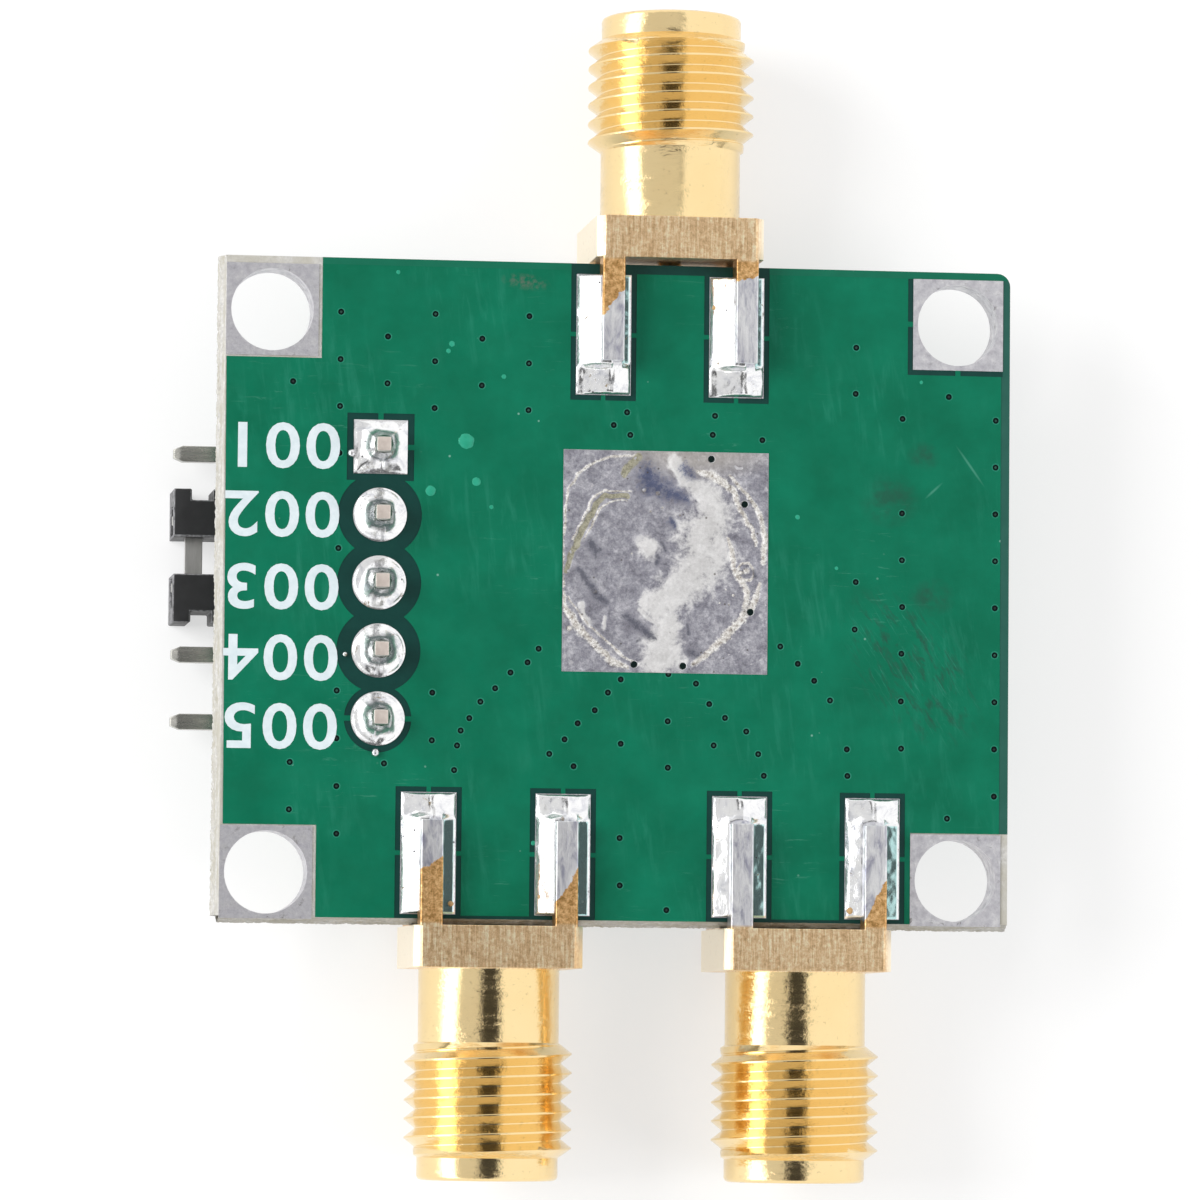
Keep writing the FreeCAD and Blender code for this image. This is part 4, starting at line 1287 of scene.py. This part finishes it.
nylon = Finish("black_nylon", roughness=0.46)
nylon.mottle((2.2, 5.0, 0.6), (0.010, 0.010, 0.011), (0.024, 0.024, 0.026))
nylon.feed("Roughness", nylon.ramp(nylon.cloud(1.2, 4.0), (0.3, 0.40), (0.7, 0.56)))
nylon.bump(nylon.cloud(7.0, 5.0, 0.65), 0.35, 0.015)
keep(dress(softened("header_housing", "header_strip", 0.07), nylon), "black_plastic", "header_housing")
# The cap's rounded edges and its end face are painted light grey: a painted highlight
cap_edge_highlight = Finish("nylon_edge_painted_highlight", roughness=0.6)
cap_edge_highlight.feed("Base Color", cap_edge_highlight.ramp(cap_edge_highlight.cloud(5.0, 6.0, 0.75), (0.38, (0.035, 0.035, 0.038)),
                                  (0.62, (0.26, 0.26, 0.27))))
cap_edge_highlight.bump(cap_edge_highlight.cloud(11.0, 5.0, 0.7), 0.5, 0.02)
cap = dress(softened("jumper_housing", "jumper_cap", 0.09, 3), nylon, cap_edge_highlight)
cap_tip_x = min(vertex.co.x for vertex in cap.data.vertices)
for face in cap.data.polygons:
    flat = max(abs(value) for value in face.normal) > 0.98
    end_face = face.normal.x < -0.7 and face.center.x < cap_tip_x + 0.1 * mm
    face.material_index = 1 if not flat or end_face else 0
keep(cap, "black_plastic", "jumper_housing")
clip_tin = Finish("clip_tin", roughness=0.34, metallic=0.75)
clip_tin.feed("Base Color", clip_tin.ramp(clip_tin.streaks((6.0, 0.8, 6.0), 5.0, 0.6),
                                          (0.3, (0.44, 0.43, 0.42)), (0.7, (0.58, 0.57, 0.56))))
clip_tin.bump(clip_tin.cloud(8.0, 4.0), 0.2, 0.01)
keep(dress(softened("jumper_contact", "jumper_clip", 0.03), clip_tin), "tinned_pin", "jumper_contact")


# Ground pad: bare tinned copper that takes the heat of the chip. Solder was spilled on it and pushed
# about with the iron: a low crusty pool with a lumpy rim, frosted in the middle, with olive flux and
# dark slag on it.
# Strokes: points x, y and half width, in mm, that a blob or a line of one kind runs through
white_strokes = [
    [(2.22, 5.02, 0.26), (2.55, 4.35, 0.2), (3.35, 4.04, 0.42), (3.69, 3.30, 0.66), (3.53, 2.63, 0.86),
     (3.25, 2.07, 0.98), (3.30, 1.40, 0.96), (2.81, 0.66, 0.82), (2.15, 0.11, 0.70), (1.53, -0.32, 0.5)],
    [(2.09, -0.87, 0.38), (1.90, -1.61, 0.62), (1.78, -2.22, 0.72), (1.4, -2.5, 0.5)],
    [(1.27, 1.83, 0.36), (1.32, 1.78, 0.36)],
    [(-1.3, -0.3, 0.10), (-1.1, -0.95, 0.16)], [(-0.4, -0.8, 0.07), (-0.42, -1.2, 0.11)],
    [(0.9, -0.5, 0.05), (1.6, -1.1, 0.07)]]
rim_strokes = [
    [(3.1, 4.75, 0.12), (3.53, 4.65, 0.22), (4.41, 4.10, 0.17), (4.70, 3.30, 0.12), (5.15, 2.6, 0.14),
     (5.3, 2.0, 0.10)],
    [(4.3, 4.6, 0.08), (4.98, 3.9, 0.12), (5.45, 3.2, 0.12), (5.65, 2.38, 0.16), (5.6, 1.3, 0.12)],
    [(4.25, 2.2, 0.10), (4.41, 1.7, 0.14), (4.45, 1.1, 0.12), (4.75, 0.65, 0.17), (5.0, 0.2, 0.2),
     (4.9, -0.3, 0.14)],
    [(5.48, 0.54, 0.12), (5.3, -0.13, 0.18), (4.73, -0.85, 0.22), (4.1, -1.54, 0.22), (3.5, -2.1, 0.2),
     (3.0, -2.5, 0.14)],
    [(-1.96, 0.1, 0.08), (-1.96, -0.32, 0.16), (-1.42, -1.18, 0.20), (-0.73, -1.85, 0.20),
     (-0.04, -2.50, 0.2), (0.5, -2.68, 0.10)],
    [(-1.8, -0.07, 0.05), (-1.11, -1.0, 0.06), (-0.36, -1.67, 0.06), (0.33, -2.28, 0.07), (0.9, -2.55, 0.06)],
    [(0.9, 5.30, 0.05), (-0.04, 5.26, 0.07), (-0.8, 5.05, 0.07), (-1.42, 4.59, 0.07), (-1.8, 3.98, 0.06),
     (-1.92, 3.12, 0.07), (-1.96, 2.26, 0.05), (-1.98, 1.2, 0.05), (-1.97, 0.3, 0.06)],
    [(0.55, 3.92, 0.05), (-0.42, 3.96, 0.06), (-0.85, 3.70, 0.07), (-1.22, 2.95, 0.07), (-1.62, 2.1, 0.05)],
    [(0.4, 3.60, 0.05), (-0.25, 3.55, 0.05), (-0.58, 3.30, 0.07), (-0.9, 2.72, 0.06), (-1.2, 2.1, 0.04)],
    [(4.93, 1.02, 0.13), (4.98, 1.05, 0.13)]]
swirl = [math.pi * step / 6 for step in range(13)]
rim_strokes.append([(4.93 + 0.3 * math.cos(turn), 1.0 + 0.34 * math.sin(turn), 0.07) for turn in swirl])
olive_strokes = [
    [(0.85, 5.22, 0.20), (0.45, 4.85, 0.22), (0.27, 4.55, 0.16)],
    [(0.4, 3.76, 0.11), (-0.42, 3.76, 0.13), (-0.70, 3.50, 0.14), (-1.05, 2.87, 0.15), (-1.36, 2.26, 0.15),
     (-1.74, 1.4, 0.16)],
    [(-1.75, 1.3, 0.12), (-1.85, 0.9, 0.12)]]
blue_strokes = [[(1.15, 4.62, 0.45), (1.35, 4.25, 0.55), (1.95, 3.98, 0.42), (2.6, 3.70, 0.22)],
                [(2.55, 4.85, 0.25), (2.8, 4.6, 0.2)], [(2.1, 2.85, 0.16), (2.2, 2.7, 0.12)]]
slag_strokes = [[(-0.95, 1.95, 0.22), (-0.72, 1.65, 0.26)],
                [(-1.42, 0.97, 0.14), (-1.05, 0.5, 0.20), (-0.7, 0.0, 0.2), (-0.33, -0.28, 0.12)],
                [(0.40, -0.75, 0.14), (0.9, -1.15, 0.22), (1.45, -1.55, 0.14)],
                [(1.72, 2.05, 0.06), (1.88, 1.76, 0.08)], [(1.63, 1.45, 0.09), (1.55, 1.2, 0.1)],
                [(2.85, -2.05, 0.16), (3.1, -2.2, 0.14)], [(2.72, -1.05, 0.06), (2.8, -1.4, 0.07)],
                [(0.85, -1.65, 0.07), (0.95, -1.6, 0.08)], [(5.2, 1.0, 0.1), (5.3, 0.85, 0.1)]]
open_vias = [(3.6, 5.22), (4.88, 3.54), (5.12, -0.52), (0.73, -2.56), (2.58, -2.59)]
white_beads = [(1.05, 4.0, 0.10), (1.58, 3.89, 0.11), (2.42, 3.07, 0.05), (-0.78, 0.14, 0.09),
               (4.18, 0.31, 0.05), (4.46, 0.10, 0.07), (3.95, -0.2, 0.05), (4.3, -0.25, 0.05),
               (-1.73, -1.25, 0.13), (1.3, 3.2, 0.05), (1.75, 3.35, 0.05), (0.6, 1.6, 0.05),
               (4.75, 0.95, 0.10)]


def along_stroke(x, y, points):
    """1 on the middle line of a stroke, 0 at its border, less beyond."""
    best = -2.0
    for (x0, y0, half0), (x1, y1, half1) in zip(points, points[1:]):
        run = Vector((x1 - x0, y1 - y0))
        share = min(max(((x - x0) * run.x + (y - y0) * run.y) / run.length_squared, 0.0), 1.0)
        away = math.hypot(x - x0 - run.x * share, y - y0 - run.y * share)
        best = max(best, 1.0 - away / (half0 + (half1 - half0) * share))
    return best


def strongest(x, y, strokes):
    """The value of the stroke that reaches a point best."""
    warp = 0.07 * noise.noise(Vector((x * 3.0, y * 3.0, 2.0)))
    twist = 0.07 * noise.noise(Vector((x * 3.0, y * 3.0, 7.0)))
    return max(along_stroke(x + warp, y + twist, points) for points in strokes)


def pool_height(x, y):
    """Height of pad and pool at a point."""
    film = foil + 0.006 + 0.006 * noise.noise(Vector((x * 5.0, y * 5.0, 1.0)))
    place = Vector((x * 1.1, y * 1.1, 8.0))
    ripple = 0.012 * noise.noise(place * 2.7) + 0.008 * noise.noise(place * 7.0)
    inside = smooth_step((3.75 - math.hypot(x - 1.85, (y - 1.35) * 0.96)) / 0.5)
    lift = 0.035 * inside + ripple
    lift += 0.045 * smooth_step(strongest(x, y, white_strokes) / 0.5)
    lift += 0.075 * smooth_step(strongest(x, y, rim_strokes) / 0.9) * (0.7 + noise.noise(place * 4.0) * 0.6)
    lift -= 0.03 * smooth_step(strongest(x, y, olive_strokes) / 0.5)
    sink = min(math.hypot(x - hole_x, y - hole_y) for hole_x, hole_y in open_vias)
    return film + max(lift, -0.004) * smooth_step((sink - 0.10) / 0.12)


pool = height_field("solder_pool", pad_low.x + 0.01, pad_high.x - 0.01, pad_low.y + 0.01, pad_high.y - 0.01,
                    0.045, pool_height)
beads = [ball(x, y, pool_height(x, y) + radius * 0.25, radius * 0.8, 14, 8) for x, y, radius in white_beads]
pool = joined([pool] + beads, "solder_pool")
kinds = {"white": white_strokes, "rim": rim_strokes, "olive": olive_strokes, "blue": blue_strokes,
         "slag": slag_strokes}
layers = dict(zip(kinds, painted_layers(pool, *kinds)))
for vertex in pool.data.vertices:
    x, y, z = vertex.co / mm
    for kind, strokes in kinds.items():
        value = strongest(x, y, strokes)
        layers[kind][vertex.index].value = value if kind in ("rim", "olive") else value * 0.5 + 0.5
    near_bead = any(math.hypot(x - bead_x, y - bead_y) < radius for bead_x, bead_y, radius in white_beads)
    if near_bead and z > pool_height(x, y) + 0.015:
        layers["rim"][vertex.index].value = 1.0

crust = Finish("crusty_solder", roughness=0.4, metallic=0.9)
crust_cloud = crust.cloud(1.5, 8.0, 0.68, bend=0.4)
crust_fine = crust.cloud(7.0, 6.0, 0.8)
crust_grain = crust.sum(crust.times(crust_cloud, 0.5), crust.times(crust_fine, 0.5))
wobble = crust.times(crust.sum(crust_cloud, -0.5), 1.7)
speckle = crust.times(crust.sum(crust_fine, -0.5), 1.6)


def stroked(kind, ragged, low, high, full=1.0):
    """Where a kind of stroke lies, with a ragged border."""
    value = crust.sum(crust.painted(kind), crust.times(speckle, ragged))
    return crust.ramp(value, (low, 0.0), (high, full))


crust_tone = crust.ramp(crust_grain, (0.37, (0.19, 0.185, 0.22)), (0.50, (0.38, 0.375, 0.425)),
                        (0.61, (0.66, 0.65, 0.69)))
warm_rim = crust.ramp(crust.spot(3.0, 5.6, 3.4, 1.3), (0.0, 0.0), (0.6, 0.5))
crust_tone = crust.mix(warm_rim, crust_tone, (0.60, 0.55, 0.47))
frost_here = crust.rise(crust.sum(crust.sum(crust.painted("white"), wobble), crust.times(speckle, 0.4)),
                        0.34, 0.66)
frost_tone = crust.ramp(crust_grain, (0.36, (0.52, 0.51, 0.50)), (0.60, (0.72, 0.71, 0.70)))
rim_here = stroked("rim", 1.5, 0.12, 0.50, 0.95)
rim_tone = crust.ramp(crust_fine, (0.38, (0.28, 0.24, 0.20)), (0.49, (0.60, 0.57, 0.53)),
                      (0.62, (0.90, 0.89, 0.87)))
olive_here = stroked("olive", 0.5, 0.08, 0.36)
olive_tone = crust.ramp(crust_fine, (0.38, (0.16, 0.15, 0.09)), (0.58, (0.40, 0.38, 0.27)))
slag_here = stroked("slag", 1.6, 0.35, 0.92)
rim_dirt = crust.times(crust.rise(crust.cloud(4.0, 6.0, 0.75), 0.56, 0.62),
                       crust.rise(crust.painted("rim"), 0.0, 0.3))
# Pits painted dark as painted shade; they share one tone with the real dirt along the rims
crust_pit_shade = crust.ramp(crust.cells(1.7), (0.05, 1.0), (0.09, 0.0))
for where, share, tone in (
        (frost_here, 0.88, frost_tone), (rim_here, 1.0, rim_tone), (olive_here, 0.9, olive_tone),
        (stroked("blue", 1.6, 0.40, 1.05), 0.9, (0.085, 0.105, 0.20)),
        (slag_here, 0.9, (0.065, 0.068, 0.095)),
        (crust.most(crust_pit_shade, rim_dirt), 0.75, (0.10, 0.085, 0.07))):
    crust_tone = crust.mix(crust.times(where, share), crust_tone, tone)
crust.feed("Base Color", crust_tone)
dull_here = crust.most(slag_here, frost_here, rim_here, olive_here)
crust_gloss = crust.ramp(crust_fine, (0.3, 0.46), (0.7, 0.30))
crust.feed("Roughness", crust.mix(dull_here, crust_gloss, (0.50, 0.50, 0.50)))
crust.feed("Metallic", crust.mix(dull_here, (0.92, 0.92, 0.92), (0.40, 0.40, 0.40)))
crust.bump(crust.sum(crust_fine, crust.times(crust_cloud, 0.6)), 0.7, 0.035)
keep(dress(pool, crust), "solder", "ground_solder")

# Plated holes that stayed open in the pad
hole_profile = [(0.0, 0.008), (0.125, 0.008), (0.13, 0.018), (0.145, 0.016), (0.15, 0.0)]
open_holes = copies(lathe("open_hole", hole_profile, 24), [(x, y, foil + 0.008) for x, y in open_vias],
                    "open_pad_holes")
dress(open_holes, via_dark, solder)
for face in open_holes.data.polygons:
    face.material_index = 0 if face.center.z / mm < foil + 0.022 and abs(face.normal.z) > 0.9 else 1
keep(open_holes, "solder")


# Component side: the switch in a leadless plastic package, chip capacitors and resistors, soldered by
# reflow, under the same green lacquer. Copper traces and pours lift the lacquer, etched gaps sink it.
component_z = -thickness
under_top = component_z - mask_top
under_low = under_top - 0.2
under_high = component_z + 0.1
under = block("component_mask", mask_edge_left[0], board_high.x, mask_edge_bottom, board_high.y,
              under_top, component_z)
trace_half = 0.55
trace_gap = 0.25
traces = [[(2.0, 7.4), (2.0, 3.6)], [(-4.42, -7.6), (-4.42, -5.6), (-0.6, -1.2)],
          [(7.3, -7.6), (7.3, -5.6), (4.4, -1.2)]]

# Two etched gaps beside each coplanar signal trace
grooves = []
for points in traces:
    for start, end in zip(points, points[1:]):
        run = Vector(end) - Vector(start)
        aside = Vector((-run.y, run.x)).normalized() * (trace_half + trace_gap / 2)
        for side in (-1, 1):
            middle = (Vector(start) + Vector(end)) / 2 + aside * side
            groove = block("groove", -run.length / 2, run.length / 2, -trace_gap / 2, trace_gap / 2,
                           under_low, component_z - mask_sunk)
            groove.rotation_euler.z = math.atan2(run.y, run.x)
            groove.location = Vector((middle.x, middle.y, 0)) * mm
            grooves.append(settle(groove))
cut(under, grooves, together=False)


def under_opening(x0, x1, y0, y1):
    """A cutter through the lacquer of the component side."""
    return block("opening", x0, x1, y0, y1, under_low, under_high)


under_openings = [under_opening(hole.x - corner_half, hole.x + corner_half, hole.y - corner_half,
                                hole.y + corner_half) for hole in corner_holes]
under_openings += [post("opening", header_x, y, land_radius, under_low, under_high, 48) for y in header_rows]
under_openings += [under_opening(x - land_width / 2, x + land_width / 2, y0, y1)
                   for x, y0, y1, outward, edge in leg_land_spans()]
under_openings += [under_opening(x - 0.7, x + 0.7, *land_span(edge, outward, signal_length))
                   for name, x, edge, outward in jacks]
chip_x, chip_y = (pad_low.x + pad_high.x) / 2, (pad_low.y + pad_high.y) / 2
chip_long = 2.45
chip_short = 1.25
for half_x, half_y in ((chip_long, chip_short), (chip_short, chip_long)):
    under_openings.append(under_opening(chip_x - half_x, chip_x + half_x, chip_y - half_y, chip_y + half_y))
small_parts = {}
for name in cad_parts:
    if "capacitor" in name or "resistor" in name:
        low, high = [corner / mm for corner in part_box(name)]
        axis = 1 if high.y - low.y > high.x - low.x else 0
        small_parts[name] = (low, high, axis)
        reach_x, reach_y = (0.05, 0.22) if axis else (0.22, 0.05)
        under_openings.append(under_opening(low.x - reach_x, high.x + reach_x, low.y - reach_y,
                                            high.y + reach_y))
under_openings += [post("via", x, y, via_rim, under_low, under_high, 16) for x, y in vias]
dress(cut(under, under_openings), lacquer, teal)
for face in under.data.polygons:
    face.material_index = 1 if abs(face.center.z / mm - (component_z - mask_sunk)) < 0.002 else 0
keep(under, "laminate")

mould = Finish("chip_mould", roughness=0.5)
mould.mottle((5.0, 5.0, 0.7), (0.012, 0.012, 0.013), (0.030, 0.030, 0.031))
mould.bump(mould.cloud(14.0, 4.0, 0.7), 0.45, 0.012)
chip = dress(softened("switch_chip", "switch_package", 0.03), mould)
chip_low, chip_high = [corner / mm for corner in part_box("switch_chip")]
dimple = lathe("dimple", [(0.0, chip_low.z + 0.03), (0.20, chip_low.z + 0.03), (0.26, chip_low.z - 0.3),
                          (0.0, chip_low.z - 0.3)], 32)
dimple.location = Vector((chip_low.x + 0.75, chip_high.y - 0.75, 0)) * mm
cut(chip, [settle(dimple)])
bpy.ops.object.shade_smooth_by_angle(angle=math.radians(40))
keep(chip, "chip_compound", "switch_chip")

ceramic = Finish("tan_ceramic", roughness=0.42)
ceramic.mottle((4.0, 5.0, 0.6), (0.30, 0.19, 0.10), (0.42, 0.29, 0.17))
ceramic.bump(ceramic.cloud(12.0, 4.0), 0.3, 0.01)
glaze = Finish("black_resistor_glaze", roughness=0.3)
glaze.mottle((3.0, 4.0), (0.010, 0.010, 0.012), (0.022, 0.022, 0.026))
glaze.bump(glaze.cloud(9.0, 3.0), 0.2, 0.008)


def end_fillet(tip, side, axis, rise, low, high):
    """Height of the solder at one end of a small part."""
    def height(x, y):
        along, across = (y, x) if axis else (x, y)
        away = max((along - tip) * side, 0.0)
        rim = smooth_step(min(across - low[1 - axis], high[1 - axis] - across) / 0.06 + 0.3)
        fall = rise * math.exp(-away / 0.07) * smooth_step((0.15 - away) / 0.05)
        return component_z - foil - 0.004 - fall * rim
    return height


fillets = []
for name, (low, high, axis) in small_parts.items():
    part = dress(softened(name, name + "_chip", 0.035), glaze if "resistor" in name else ceramic, solder)
    end = 0.22 if high[axis] - low[axis] < 1.2 else 0.35
    for face in part.data.polygons:
        place = face.center[axis] / mm
        near_end = min(place - low[axis], high[axis] - place) < end + 0.01
        face.material_index = 1 if near_end else 0
    keep(part, "resistor_body" if "resistor" in name else "capacitor_ceramic", name)
    for side in (-1, 1):
        tip = high[axis] if side > 0 else low[axis]
        spans = [(low.x, high.x), (low.y, high.y)]
        spans[axis] = sorted((tip - side * 0.03, tip + side * 0.145))
        shape = end_fillet(tip, side, axis, (high.z - low.z) * 0.62, low, high)
        fillets.append(height_field("fillet", *spans[0], *spans[1], 0.03, shape, False))
keep(dress(joined(fillets, "reflow_fillets"), solder), "solder")
